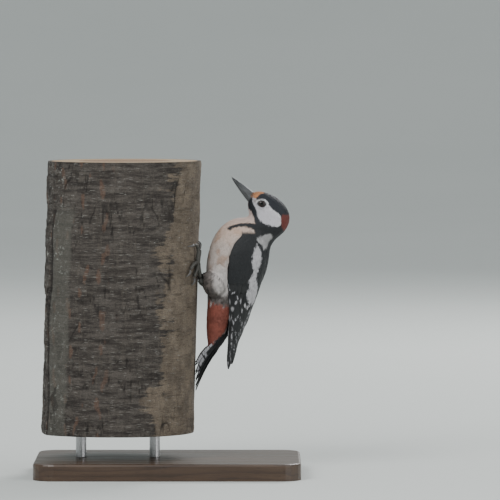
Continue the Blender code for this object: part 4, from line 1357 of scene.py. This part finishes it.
def tail_feather(sign, number):
    """One stiff feather, with how far each point lies inside a white bar."""
    turn = TAIL_SPREAD * (number + 0.35) / (TAIL_PAIRS - 0.65)
    layer = 1.1 + 0.12 * sign
    root = TAIL_TOP + tail_down * (layer + TAIL_ROOT_DEPTH * (1 - math.cos(turn))) * MM
    root = root + sign * ACROSS * TAIL_ROOT_WIDTH * math.sin(turn) * MM
    tip_away = TAIL_TIP_WIDTH * math.sin(turn) * MM
    cast_from = Vector((0.12, sign * tip_away, (TAIL_TIP_HEIGHTS[number] + 0.5 * sign) * MM))
    bark_place, bark_normal, _, _ = log_tree.ray_cast(cast_from, Vector((-1, 0, 0)))
    tip = np.array(bark_place + bark_normal * (TAIL_OFF_BARK * MM))
    share = np.linspace(0, 1, TAIL_ROWS)
    pointed = np.clip((share - 0.55) / 0.45, 0, 1)
    half = TAIL_HALF_WIDTHS[number] * (0.55 + 0.45 * np.minimum(1, share / 0.35)) * (1 - 0.93 * pointed**1.7)
    centre = root + (tip - root) * share[:, None]
    centre = centre + tail_down * TAIL_BOW * MM * (np.sin(np.pi * share) * math.cos(turn))[:, None]
    roll = (turn * (1 - 0.45 * share))[:, None]
    flat = sign * ACROSS * np.cos(roll) + tail_down * np.sin(roll)
    up = np.cross(flat, unit(np.gradient(centre, axis=0)))
    up = up * np.sign(-(up @ tail_down))[:, None]
    lifts = np.full(TAIL_ROWS, 0.10 * number * MM)
    part = blade(centre, up, half * MM, lifts, None, *TAIL_BLADE)
    across, along = part[2].T
    off_shaft = np.abs(across - 0.5)
    bars = np.cos(2 * np.pi * (along * (4.2 + number) + 0.5 * off_shaft)) * 1.1
    bars = bars + 0.5 * rough_field(part[0], 0.006, 19)
    start, end, more, narrowing = TAIL_WHITE.get(number, (1, 0, 0, 0))
    white = bars + more - narrowing * (0.5 - off_shaft)
    return part, np.where((along > start) & (along < end), white, -2.0)


tail_parts = [tail_feather(sign, number) for number in range(TAIL_PAIRS) for sign in SIDES.values()]
add_barred("tail_feathers", *zip(*tail_parts), "tail")

# %% [markdown]
# ## The bill
# A chisel of horn: straight, grey, darker at the tip, with a ridge along each side from the nostril and a
# sharp keel on top. Each half is a loft through sections that shrink to the tip. The solids gave its size;
# the loft adds the keel, the side ridge and the slight swelling of the cutting edge.

# %% Shape the two halves of the bill
BILL_TIP = np.array((60.2, 0, 282.4)) * MM
BILL_ROOTS = np.array(((82.2, 0, 267.8), (78.0, 0, 261.6), (75.6, 0, 258.9))) * MM
CULMEN_ROOT, TOMIUM_ROOT, GONYS_ROOT = BILL_ROOTS  # of its ridge, its cutting edge and its keel below
BILL_BURIED = 0.13  # how far the halves run on into the face, as a share of their length
BILL_HALF_WIDTH, BILL_TIP_HALF_WIDTH = 4.3, 0.5
BILL_ROWS = 34
bill_ahead = unit(BILL_TIP - TOMIUM_ROOT)
bill_up = np.cross(bill_ahead, ACROSS)
bill_up = bill_up * np.sign(bill_up[2])
BILL_BOW, BILL_GAP, NOSTRIL_RIDGE, NOSTRIL_GROOVE = 0.42, 0.06, (0.86, 0.13), (1.12, 0.12)
HALVES = {
    "upper": {
        "ridge_root": CULMEN_ROOT, "way": 1, "length": 1.0, "width": 1.0, "keel": 0.35, "section": 1.25,
        "side_ridge": 0.05, "side_groove": 0.05, "nose": 0.5,
    },
    "lower": {
        "ridge_root": GONYS_ROOT, "way": -1, "length": 0.955, "width": 0.88, "keel": 0.25, "section": 1.05,
        "side_ridge": 0.0, "side_groove": 0.02, "nose": 0.3,
    },
}


def bill_half(ridge_root, way, length, width, keel, section, side_ridge, side_groove, nose):
    """Points and faces of one half of the bill, lofted from the face to the tip."""
    turns = np.linspace(-math.pi / 2, math.pi / 2, 23)
    up = np.cos(turns) ** section
    rings = []
    for share in np.linspace(-BILL_BURIED, 1, BILL_ROWS):
        edge = TOMIUM_ROOT + (BILL_TIP - TOMIUM_ROOT) * share * length
        ridge = ridge_root * (1 - share * length) + BILL_TIP * share * length
        bare, buried = max(share, 0.0), min(share, 0.0)
        half = BILL_HALF_WIDTH + (BILL_TIP_HALF_WIDTH - BILL_HALF_WIDTH) * bare**0.85
        half = half * width * (1 + 0.9 * buried) * MM
        rise = ridge - edge + bill_up * way * (BILL_BOW * math.sin(math.pi * bare) ** 0.7 + keel * bare) * MM
        rise = rise * (1 + 1.2 * buried)
        places = (NOSTRIL_RIDGE, NOSTRIL_GROOVE)
        raised, sunk = (np.exp(-(((np.abs(turns) - at) / wide) ** 2)) for at, wide in places)
        out = np.sign(turns) * np.abs(np.sin(turns)) ** 0.92
        out = out * (1 + side_ridge * raised * (1 - bare) ** 0.5 - side_groove * sunk * (1 - bare))
        edge = edge + bill_up * way * BILL_GAP * MM
        outer = edge + rise * (up / (1.0 + 0.12 * (1 - bare)))[:, None] + ACROSS * (half * out)[:, None]
        inner = edge + ACROSS * (half * 0.8 * out[::-1][3:-3])[:, None] + rise * 0.06
        rings.append(np.vstack([outer, inner]))
    rings = np.array(rings)
    back, front = rings[0].mean(0) - bill_ahead * 0.8 * MM, rings[-1].mean(0) + bill_ahead * nose * MM
    return loft_parts(rings, back, front)


# %% Finish the bill
bill_finish, tree, shader = new_material(
    "bill_horn", 0.45, Specular_IOR_Level=0.35, Coat_Weight=0.06, Coat_Roughness=0.35
)
own = placed(tree)
tip_run = vector_node(tree, "DOT_PRODUCT", own, tuple(-bill_ahead))["Value"]
from_tip = math_node(tree, "SUBTRACT", tip_run, float(-bill_ahead @ BILL_TIP))
bill_tilt = (0, math.atan2(bill_ahead[2], -bill_ahead[0]), 0)
grain = field(tree, 1.0, 4.0, 0.5, (60, 900, 900), bill_tilt)
horn = blend_colours(tree, ramp(tree, from_tip, 0.0, 0.016), (0.014, 0.015, 0.016), (0.066, 0.068, 0.071))
horn = toned(tree, horn, even_ramp(tree, grain, 0.3, 0.7, 0.72, 1.18))
finish_with(tree, shader, horn, even_ramp(tree, grain, 0.3, 0.7, 0.3, 0.5), grain, 0.35, 0.0001)

for name, sizes in HALVES.items():
    half = add_mesh(f"bill_{name}_horn", *bill_half(**sizes), bill_finish)
    dress(half, "bill_horn", f"bill_{name}")
print("bill:", round(float(np.linalg.norm(BILL_TIP - CULMEN_ROOT)) / MM, 1), "mm long")

# %% [markdown]
# Stiff bristles grow from the edge of the forehead over the nostrils, and keep chips of wood out of them.
# Each is a slim blade laid along the upper half of the bill, a little off its surface.

# %% Lay the bristles over the nostrils
BRISTLES, BRISTLE_TURNS = 70, (0.12, 1.38)  # on each side, and where they lie round the bill, from its ridge
BRISTLE_LENGTH, BRISTLE_HALF, BRISTLE_ROWS = 3.6, 0.15, 7
EDGE_TURN = 1.6  # where the bill's cutting edge lies, from its ridge
BRISTLE_BLADE = (0.10, 0.03, 0.0)  # thickness, rise of the shaft and tilt

random = np.random.default_rng(7)
horn_tree = BVHTree.FromPolygons(*bill_half(**HALVES["upper"]))


def bristle(sign, turn):
    """One bristle along the bill's upper half, and its colour."""
    down = turn / EDGE_TURN
    start = CULMEN_ROOT * (1 - down) + TOMIUM_ROOT * down - bill_ahead * random.uniform(1.2, 2.4) * MM
    reach = BRISTLE_LENGTH * random.uniform(0.75, 1.15) * (0.7 + 0.3 * turn)
    share, wide = blade_shape(BRISTLE_ROWS, 0.2, 0.8, 0.7)
    out = unit(bill_up * math.cos(turn) + sign * ACROSS * math.sin(turn))
    line = []
    for step in share:
        over = Vector(start + (bill_ahead * step * reach + out * 2.2) * MM)
        near, normal, _, _ = horn_tree.find_nearest(over)
        line.append(near + normal * (0.40 - 0.28 * step) * MM)
    ups, lifts = np.tile(out, (BRISTLE_ROWS, 1)), np.zeros(BRISTLE_ROWS)
    part = blade(np.array(line), ups, wide * BRISTLE_HALF * MM, lifts, None, *BRISTLE_BLADE)
    colour = np.array(FOREHEAD if turn < 0.6 else RUST) * random.uniform(0.6, 1.2)
    return part, np.tile(colour, (len(part[0]), 1))


tufts = [bristle(sign, turn) for sign in SIDES.values() for turn in random.uniform(*BRISTLE_TURNS, BRISTLES)]
bristle_parts, bristle_colours = zip(*tufts)
bristles = add_joined("bill_bristles", bristle_parts, coat_finish)
store_plumage(bristles.data, np.vstack(bristle_colours))
dress(bristles, "pale_feathers")
print("bristles:", len(bristle_parts))

# %% [markdown]
# ## The eyes
# A taxidermist sets glass eyes: a dark pupil in a deep red-brown iris, under a clear, wet dome. The colour
# is drawn by the distance from the eye's own axis, so that it can't slide. A narrow ring of bare grey skin,
# finely beaded, holds each eye as its lids do.

# %% Finishes of eye and lid
PUPIL, IRIS = 1.85, 3.2
LID_RADIUS, LID_THICK, LID_BEADS = 2.95, 0.40, 26

eye_finish, tree, shader = new_material("eye_glass", 0.035, Specular_IOR_Level=0.30)
own = placed(tree)
centre = EYE_CENTRES["right"]
flat = vector_node(tree, "SUBTRACT", own, (centre.x, 0, centre.z))[0]
flat = vector_node(tree, "MULTIPLY", flat, (1000, 0, 1000))[0]
apart = vector_node(tree, "LENGTH", flat)["Value"]
fibres = add_node(tree, "ShaderNodeTexNoise", {"Vector": flat, "Scale": 1.6, "Detail": 4.0}).outputs["Fac"]
iris = blend_colours(tree, fibres, (0.009, 0.003, 0.002), (0.028, 0.008, 0.006))
eye_colour = blend_colours(tree, ramp(tree, apart, PUPIL - 0.12, PUPIL + 0.12), (0.002, 0.002, 0.002), iris)
eye_colour = blend_colours(tree, ramp(tree, apart, IRIS - 0.7, IRIS), eye_colour, (0.006, 0.005, 0.005))
finish_with(tree, shader, eye_colour)

lid_finish, tree, shader = new_material("lid_skin", 0.55)
beads = cells(tree, 2600.0)["Distance"]
lid_colour = blend_colours(tree, beads, (0.009, 0.009, 0.0095), (0.024, 0.024, 0.024))
finish_with(tree, shader, lid_colour, None, beads, 0.6, 0.0002)


# %% Set the eyes and their lids
def lid_ring(centre, sign):
    """Points and faces of a beaded ring round the eye's opening."""
    height = math.sqrt(EYE_RADIUS**2 - (LID_RADIUS * MM) ** 2) - 0.05 * MM
    rings = []
    for a in np.linspace(0, 2 * math.pi, 104, endpoint=False):
        out = np.array((math.cos(a), 0, math.sin(a) * 0.94))
        middle = np.array(centre) + out * LID_RADIUS * MM + sign * ACROSS * height
        thick = LID_THICK * (1 + 0.16 * math.sin(LID_BEADS * a)) * (1 + 0.25 * math.sin(a)) * MM
        turns = np.linspace(0, 2 * math.pi, 12, endpoint=False)[:, None]
        rings.append(middle + (out * np.cos(turns) + sign * 0.8 * ACROSS * np.sin(turns)) * thick)
    rings = np.array(rings)
    here = np.arange(rings.shape[0] * rings.shape[1]).reshape(rings.shape[:2])
    after = np.roll(here, -1, 0)
    quads = np.stack([here, np.roll(here, -1, 1), np.roll(after, -1, 1), after], axis=-1)
    return rings.reshape(-1, 3), quads.reshape(-1, 4).tolist()


for side, sign in SIDES.items():
    form = bmesh.new()
    turn = Matrix.Translation(EYE_CENTRES[side]) @ Matrix.Rotation(math.pi / 2, 4, "X")
    bmesh.ops.create_uvsphere(form, u_segments=64, v_segments=40, radius=EYE_RADIUS, matrix=turn)
    dress(show_form(f"eye_{side}_glass", form, eye_finish), "eye", f"eye_{side}")
    dress(add_mesh(f"lid_{side}", *lid_ring(EYE_CENTRES[side], sign), lid_finish), "foot_scales")
print("eyes:", round(EYE_RADIUS * 2 / MM, 1), "mm across, opening", LID_RADIUS * 2, "mm")

# %% [markdown]
# ## Feet and claws
# The tarsus and toes are covered in scutes: broad plates across the front and the tops of the toes, fine
# grains at the sides, and soft pads below, each toe thickening at its joints. Each toe is a loft along the
# toe's middle line, stepped once for each scute, and is kept off the bark. The claws are the solids,
# rounded by subdivision, in dark horn mottled with paler horn.

# %% Shape the toes
FOOT_LINE = (
    (38.5, 12.4, 181.0), (33.8, 13.6, 181.0), (31.3, 15.2, 185.4), (29.4, 19.0, 194.0), (28.4, 21.4, 200.6),
)
FOOT_RADII = (1.9, 2.2, 1.9, 1.65, 2.2)
TOE_LINES = {
    "inner_front": ((29.2, 19.2, 205.6), (30.0, 17.6, 209.8), (29.9, 16.8, 212.8)),
    "outer_front": ((28.4, 23.0, 206.5), (28.8, 23.2, 213.5), (27.6, 26.0, 218.2), (25.2, 30.4, 219.2)),
    "side": ((27.0, 26.0, 202.2), (24.6, 30.6, 200.6), (22.0, 34.4, 196.6)),
    "hind": ((27.6, 23.4, 196.0), (26.2, 25.6, 192.4), (25.4, 26.8, 189.0)),
}
TOE_RADII = (1.9, 1.65, 1.5, 1.45, 1.25)
SCUTE_LENGTH, SCUTE_STEP = 1.25, 0.13  # along a toe, and how far each plate stands over the next
LIMB_SIDES = 20
LOG_MIDDLE = sum(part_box("perch_log"), Vector()) / 2


def scaly_limb(places, radii, sign):
    """Points and faces of a limb through places, with plates on its outer side and pads towards the bark."""
    steps = 12
    line = smooth_line(np.array(places) * (1, sign, 1), steps) * MM
    thick = smooth_line(np.array(radii)[:, None], steps)[:, 0]
    run = np.concatenate([[0], np.cumsum(np.linalg.norm(np.diff(line, axis=0), axis=1))]) / MM
    fine = np.linspace(0, run[-1], max(24, int(run[-1] / 0.2)))
    line = np.stack([np.interp(fine, run, line[:, k]) for k in range(3)], axis=1)
    thick = np.interp(fine, run, thick[: len(run)])
    for k, (place, radius) in enumerate(zip(line, thick)):
        near, normal, _, _ = log_tree.find_nearest(Vector(place))
        low = (radius + 0.22) * MM - (Vector(place) - near).dot(normal)
        if low > 0:
            line[k] = Vector(place) + normal * low
    ahead = unit(np.gradient(line, axis=0))
    out = flat_to((line - (LOG_MIDDLE.x, 0, 0)) * (1, 1, 0), ahead)
    side = np.cross(ahead, out)
    turns = np.linspace(0, 2 * math.pi, LIMB_SIDES, endpoint=False)
    plate = (fine / SCUTE_LENGTH) % 1
    rise = SCUTE_STEP * (1 - ease(0.72, 1.0, plate)) * (0.35 + 0.65 * ease(0.0, 0.10, plate))
    pads = 0.10 * np.sin(2 * np.pi * fine / 2.6)
    face = np.cos(turns)
    ends = np.sqrt(np.clip(np.minimum(fine, fine[-1] - fine) / thick, 0.02, 1))
    ends = np.clip(1 - (1 - ends) ** 2, 0.1, 1)
    depth = thick[:, None] + rise[:, None] * ease(-0.2, 0.5, face) + pads[:, None] * ease(0.1, -0.6, face)
    depth = depth * ends[:, None] * (1 - 0.07 * np.abs(np.sin(turns)) ** 6)
    spokes = out[:, None] * face[None, :, None] + side[:, None] * np.sin(turns)[None, :, None]
    rings = line[:, None] + spokes * depth[..., None] * MM
    return loft_parts(rings, line[0] - ahead[0] * 0.2 * MM, line[-1] + ahead[-1] * 0.2 * MM)


# %% Finishes of toes and claws
foot_finish, tree, shader = new_material("foot_scales", 0.55, Specular_IOR_Level=0.45)
grains = cells(tree, 1500.0)["Distance"]
cloud = field(tree, 320.0, 4.0, 0.5)
scaly = blend_colours(tree, cloud, (0.038, 0.037, 0.033), (0.098, 0.094, 0.082))
scaly = toned(tree, scaly, even_ramp(tree, grains, 0.0, 0.7, 1.15, 0.6))
finish_with(tree, shader, scaly, even_ramp(tree, cloud, 0.3, 0.7, 0.42, 0.7), grains, -0.5, 0.00025)

claw_finish, tree, shader = new_material("claw_horn", 0.35, Specular_IOR_Level=0.5)
growth = field(tree, 700.0, 3.0, 0.5)
horn = blend_colours(tree, growth, (0.030, 0.029, 0.030), (0.105, 0.100, 0.095))
finish_with(tree, shader, horn, even_ramp(tree, growth, 0.3, 0.7, 0.28, 0.5), growth, 0.2, 0.0002)

# %% Set the feet
for side, sign in SIDES.items():
    parts = [scaly_limb(FOOT_LINE, FOOT_RADII, sign)]
    for line in TOE_LINES.values():
        parts.append(scaly_limb((FOOT_LINE[-1], *line), TOE_RADII[: len(line) + 1], sign))
    dress(add_joined(f"foot_{side}_scales", parts, foot_finish), "foot_scales")
    for toe in TOE_LINES:
        node = f"claw_{side}_{toe}"
        claw = show_form(f"{node}_horn", welded(node), claw_finish)
        with_modifiers(claw, ("SUBSURF", {"levels": 2, "render_levels": 2}))
        dress(claw, "claw_horn", node)
print("toes:", len(TOE_LINES) * len(SIDES))

# %% [markdown]
# ## The trunk
# The log is measured from its solid by rays, so that feet and tail still meet it, and then roughened: broad
# lumps, cracks that wander upwards, and thick jagged plates on the side away from the bird. Where the bird
# clings the bark stays calm. The same fields that shape it are kept as numbers on its points, and the
# finish reads them: a crack is painted dark where it is deep, and a loose plate where it lies low, as
# painted shade. Both ends are sawn across, with rings of growth inside the bark.

# %% Measure the log
BARK_AROUND, BARK_UP, CUT_RINGS = 380, 212, 22  # places round and up the bark, and rings across a cut
BARK_THICK = 0.045  # share of the log's radius
CRACK_STRETCH = (1, 1, 0.22)  # cracks run up the log
RIB_TURN, RIB_HALF = math.radians(-138), 0.165  # where the rib stands round the log, and its half width
PLATES, PLATE_STRETCH = 900, 0.105  # how many plates the loose bark has, and how tall they are drawn
log_lo, log_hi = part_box("perch_log")
headings = np.linspace(-math.pi, math.pi, BARK_AROUND, endpoint=False)
levels = np.linspace(log_lo.z, log_hi.z, BARK_UP)
bark_ways = [Vector((math.cos(turn), math.sin(turn), 0)) for turn in headings]


def log_axis(height):
    """The middle of the log at a height, from rays across it."""
    ends = [log_tree.ray_cast(Vector((sign * 0.3, 0, height)), Vector((-sign, 0, 0)))[0] for sign in (-1, 1)]
    return (ends[0] + ends[1]) / 2


low_axis, high_axis = (log_axis(z) for z in (log_lo.z + 0.01, log_hi.z - 0.01))


def axis_at(heights):
    share = (np.asarray(heights) - low_axis.z) / (high_axis.z - low_axis.z)
    return low_axis.x + (high_axis.x - low_axis.x) * share


reach = np.empty((BARK_UP, BARK_AROUND))
for row, height in enumerate(np.clip(levels, log_lo.z + 0.0004, log_hi.z - 0.0004)):
    axis = Vector((axis_at(height), 0, height))
    for column, way in enumerate(bark_ways):
        reach[row, column] = (log_tree.ray_cast(axis + way * 0.2, -way)[0] - axis).length

turn_grid, level_grid = np.meshgrid(headings, levels)
spokes = np.stack([np.cos(turn_grid), np.sin(turn_grid), np.zeros_like(turn_grid)], axis=-1)


def bark_places(reaches):
    middles = np.stack([axis_at(level_grid), np.zeros_like(level_grid), level_grid], axis=-1)
    return spokes * reaches[..., None] + middles


smooth_log = bark_places(reach).reshape(-1, 3)
print("log:", round(2 * float(reach.min()) / MM), "to", round(2 * float(reach.max()) / MM), "mm thick")


# %% Grow its bark
def bark_noise(size, seed, stretch=(1, 1, 1)):
    """Smooth noise about -1 to 1 over the log, longer along an axis where stretch is small."""
    return rough_field(smooth_log * stretch, size, seed).reshape(reach.shape)


off_front = np.abs(turn_grid)
calm = ease(0.95, 0.55, off_front) * ease(0.062, 0.074, level_grid) * ease(0.242, 0.230, level_grid)
lumps, fine = bark_noise(0.034, 3), bark_noise(0.0042, 7)
wander = bark_noise(0.0105, 5, CRACK_STRETCH)
gate = ease(-0.2, 0.7, bark_noise(0.05, 6) + 0.9 * ease(1.9, 2.5, off_front) - 0.1)
from_rib = turn_grid - RIB_TURN + 0.02 * bark_noise(0.05, 12)
rib_top = ease(0.262, 0.245, level_grid)
rib = ease(RIB_HALF, 0.12, np.abs(from_rib)) * rib_top
crack = np.exp(-((wander / 0.10) ** 2)) * gate * (1 - 0.8 * rib)
crack = np.maximum(crack, np.exp(-(((from_rib + 0.18) / 0.024) ** 2)) * rib_top)

random = np.random.default_rng(21)
plate_turns = random.uniform(-math.pi, math.pi, PLATES)
plate_levels = random.uniform(log_lo.z - 0.01, log_hi.z + 0.01, PLATES)
plates = KDTree(PLATES)
for k, (turn, level) in enumerate(zip(plate_turns, plate_levels)):
    plates.insert((math.cos(turn), math.sin(turn), level / PLATE_STRETCH), k)
plates.balance()
jag = bark_noise(0.012, 15) * 0.045
jagged = turn_grid + jag
looked = np.stack([np.cos(jagged), np.sin(jagged), level_grid / PLATE_STRETCH + jag], axis=-1)
nearest = np.array([plates.find(place)[1] for place in looked.reshape(-1, 3)])
plate_rise = random.uniform(0, 1, PLATES)[nearest].reshape(reach.shape)

flaking = ease(2.05, 2.7, off_front) * (0.4 + 0.6 * ease(-0.4, 0.5, lumps))
relief = 0.45 * lumps - 0.9 * crack + 0.16 * fine
relief = relief + flaking * (1.9 * plate_rise**1.4 - 0.6) * (1 - rib)
relief = relief + 0.9 * rib * np.sqrt(np.clip(1 - (from_rib / 0.17) ** 2, 0, 1))
relief = relief * (1 - 0.85 * calm) - 0.15 * calm
relief = relief * ease(-0.001, 0.004, log_hi.z - level_grid) * ease(-0.001, 0.004, level_grid - log_lo.z)
bark = bark_places(reach + relief * MM)
print("bark:", relief.shape, "places, relief", np.round(np.ptp(relief), 1), "mm")

# %% Saw its ends across
shares = np.linspace(0.0, 1.0, CUT_RINGS + 1)[1:-1] ** 0.8
low_middle, high_middle = ((axis_at(level), 0, level) for level in (log_lo.z, log_hi.z))
low_cut, high_cut = (
    np.stack([spokes[0] * (reach[row] * share)[:, None] + middle for share in shares])
    for row, middle in ((0, low_middle), (-1, high_middle))
)
points, faces = loft_parts(np.concatenate([low_cut, bark, high_cut[::-1]]), low_middle, high_middle)
log = add_mesh("log_bark", points, faces)
log.data.set_sharp_from_angle(angle=math.radians(60))

warm_from = -1.22 + 0.9 * (level_grid - log_lo.z) + 0.10 * lumps + 0.05 * wander
peel = ease(0.95, 1.1, bark_noise(0.009, 17, (1, 1, 0.30))) * ease(1.5, 1.9, off_front)
kept = {
    # painted shade: dark where a crack is deep, and where a loose plate lies low
    "crack": np.maximum(crack * (1 - 0.8 * calm), flaking * ease(0.25, 0.0, plate_rise)),
    "warmth": ease(0.0, 0.26, turn_grid - warm_from) * ease(1.3, 0.9, turn_grid),
    "flaking": flaking,
    "rib": rib,
    "peel": peel,
    "from_pith": np.ones_like(reach),
}
for name, grid in kept.items():
    low = shares if name == "from_pith" else 0 * shares
    cut = np.repeat(low, BARK_AROUND), np.repeat(low[::-1], BARK_AROUND)
    values = [cut[0], grid.ravel(), cut[1], (low[0], low[0])]
    store(log.data, **{name: np.concatenate(values)})
print("kept on the bark:", ", ".join(kept))

# %% [markdown]
# The bark's finish is a pile of thin layers over a dark brown ground banded across the log: a warmer brown
# towards the bird, red-brown where the outer skin peels, pale fibres up and across, flecks, grey on the
# smooth rib, lichen on the flaking side, and last the dark cracks, painted shade that is darkest where a
# crack is deep or a plate lies low. The short pale dashes, the lenticels, are cells flattened along the
# log's height, with only some of them filled.

# %% The finish of bark
bark_finish, tree, shader = new_material("bark", 0.9, Specular_IOR_Level=0.25)
cloud = field(tree, 55.0, 7.0, 0.65)
fibre = field(tree, 330.0, 5.0, 0.6, (1, 1, 0.16))
grit = field(tree, 1300.0, 3.0, 0.6)
cross = field(tree, 120.0, 6.0, 0.75, (1, 1, 5.0))
bands = field(tree, 30.0, 6.0, 0.72, (1, 1, 7.0))
dust = field(tree, 240.0, 5.0, 0.75)
scales = cells(tree, 120.0, (1, 1, 5.2))
warmth = number(tree, "warmth")

filled = ramp(tree, add_node(tree, "ShaderNodeSeparateColor", {0: scales["Color"]}).outputs[0], 0.55, 0.75)
dash = times(tree, ramp(tree, scales["Distance"], 0.36, 0.10), filled)
dash = times(tree, dash, ramp(tree, warmth, 0.0, 1.0, 1.0, 0.5))
fleck = times(tree, ramp(tree, cross, 0.60, 0.70), ramp(tree, grit, 0.45, 0.60))
lichen = times(tree, ramp(tree, dust, 0.57, 0.64), number(tree, "flaking"))
warm = blend_colours(tree, ramp(tree, cloud, 0.32, 0.68), (0.078, 0.061, 0.046), (0.160, 0.128, 0.096))
warm = blend_colours(tree, times(tree, ramp(tree, bands, 0.47, 0.36), 0.6), warm, (0.050, 0.039, 0.029))
warm_share = ramp(tree, plus(tree, warmth, ramp(tree, bands, 0.40, 0.60, -0.35, 0.35)), 0.35, 0.65)
layers = (  # laid over the ground one after another: where, how strongly, and the colour
    (warm_share, 1.0, warm),
    (number(tree, "peel"), 0.6, (0.11, 0.062, 0.042)),
    (ramp(tree, fibre, 0.5, 0.72), 0.25, (0.12, 0.104, 0.085)),
    (ramp(tree, cross, 0.52, 0.70), 0.42, (0.16, 0.148, 0.13)),
    (ramp(tree, cross, 0.47, 0.33), 0.55, (0.014, 0.0115, 0.010)),
    (fleck, 0.8, (0.30, 0.30, 0.285)),
    (dash, 0.5, (0.22, 0.21, 0.19)),
    (number(tree, "rib"), 0.6, (0.090, 0.087, 0.075)),
    (lichen, 0.8, (0.32, 0.33, 0.30)),
    # painted shade in the cracks and between the loose plates
    (number(tree, "crack"), 0.88, (0.012, 0.010, 0.009)),
)
colour = blend_colours(tree, ramp(tree, bands, 0.36, 0.64), (0.024, 0.0198, 0.0178), (0.074, 0.064, 0.056))
for share, strength, over in layers:
    colour = blend_colours(tree, times(tree, share, strength), colour, over)
colour = toned(tree, colour, ramp(tree, grit, 0.3, 0.7, 0.72, 1.24))
height = times(tree, fibre, 0.7)
for relief_of, strength in ((dash, 0.45), (grit, 0.35), (cross, 0.6)):
    height = plus(tree, height, times(tree, relief_of, strength))
finish_with(tree, shader, colour, ramp(tree, cloud, 0.3, 0.7, 0.8, 0.97), height, 0.9, 0.0009)
print("layers on the bark:", len(layers))

# %% The finish of the sawn ends
cut_finish, tree, shader = new_material("sawn_wood", 0.75, Specular_IOR_Level=0.3)
from_pith = number(tree, "from_pith")
ringed = plus(tree, from_pith, times(tree, field(tree, 26.0, 3.0), 0.06))
growth = math_node(tree, "FRACT", times(tree, math_node(tree, "POWER", ringed, 1.15), 27.0))
late = ramp(tree, growth, 0.55, 0.97)
saw = field(tree, 420.0, 4.0, 0.6, (1, 0.06, 1))
pores = field(tree, 1500.0, 2.0)
under_bark = 1 - BARK_THICK
wood = blend_colours(tree, ramp(tree, ringed, 0.60, 0.66), (0.205, 0.120, 0.062), (0.345, 0.245, 0.145))
for share, strength, over in (
    (late, 0.5, (0.12, 0.068, 0.035)),
    (ramp(tree, saw, 0.5, 0.75), 0.25, (0.42, 0.33, 0.22)),
    (ramp(tree, pores, 0.60, 0.70), 0.5, (0.10, 0.06, 0.03)),
    (ramp(tree, from_pith, under_bark - 0.004, under_bark + 0.002), 1.0, (0.060, 0.040, 0.026)),
):
    wood = blend_colours(tree, times(tree, share, strength), wood, over)
height = plus(tree, saw, times(tree, late, 0.3))
finish_with(tree, shader, wood, ramp(tree, saw, 0.3, 0.7, 0.6, 0.85), height, 0.5, 0.0004)

log.data.materials.append(bark_finish)
log.data.materials.append(cut_finish)
sawn_faces = BARK_AROUND * len(shares)
side_faces = BARK_AROUND * (BARK_UP - 1)
cut_flags = np.zeros(len(log.data.polygons), np.int32)
cut_flags[:sawn_faces] = 1
cut_flags[sawn_faces + side_faces :] = 1
log.data.polygons.foreach_set("material_index", cut_flags)
dress(log, "bark", "perch_log")
print("log:", len(log.data.polygons), "faces")

# %% [markdown]
# ## The stand
# A block of dark oiled wood on two steel rods. The solids keep their shape, and only take their finish:
# grain that runs the length of the block, and rods turned on a lathe, with fine rings and a satin shine.

# %% Finish the stand
wood_finish, tree, shader = new_material(
    "base_wood", 0.42, Specular_IOR_Level=0.45, Coat_Weight=0.25, Coat_Roughness=0.25
)
PLANK = {"rough": 0.5, "stretch": (0.09, 1.0, 1.0), "turn": (0.5, 0, 0)}  # the grain runs along the block
drift, waves = field(tree, 22.0, 3.0, **PLANK), field(tree, 120.0, 6.0, **PLANK, Distortion=0.6)
lines = math_node(tree, "FRACT", times(tree, drift, 13.0))
pores = field(tree, 1900.0, 2.0, stretch=(0.035, 1, 1))
wood = blend_colours(tree, waves, (0.030, 0.016, 0.009), (0.082, 0.046, 0.025))
wood = blend_colours(tree, ramp(tree, lines, 0.5, 1.0, 0.0, 0.55), wood, (0.022, 0.011, 0.006))
wood = blend_colours(tree, ramp(tree, pores, 0.58, 0.68, 0.0, 0.6), wood, (0.010, 0.006, 0.004))
finish_with(tree, shader, wood, ramp(tree, waves, 0.3, 0.7, 0.34, 0.52), pores, -0.25, 0.0002)

steel_finish, tree, shader = new_material("rod_steel", 0.3, Metallic=1.0)
turned = field(tree, 1.0, 3.0, 0.6, (30, 30, 9000))
steel = blend_colours(tree, turned, (0.40, 0.40, 0.41), (0.52, 0.52, 0.53))
finish_with(tree, shader, steel, ramp(tree, turned, 0.3, 0.7, 0.24, 0.40), turned, 0.15, 0.00005)

finishes = {"stand_base": wood_finish, "stand_rod_1": steel_finish, "stand_rod_2": steel_finish}
for node, finish in finishes.items():
    for place in bpy.data.objects[node].material_slots:
        place.material = finish
    print(node, "finished in", finish.name)
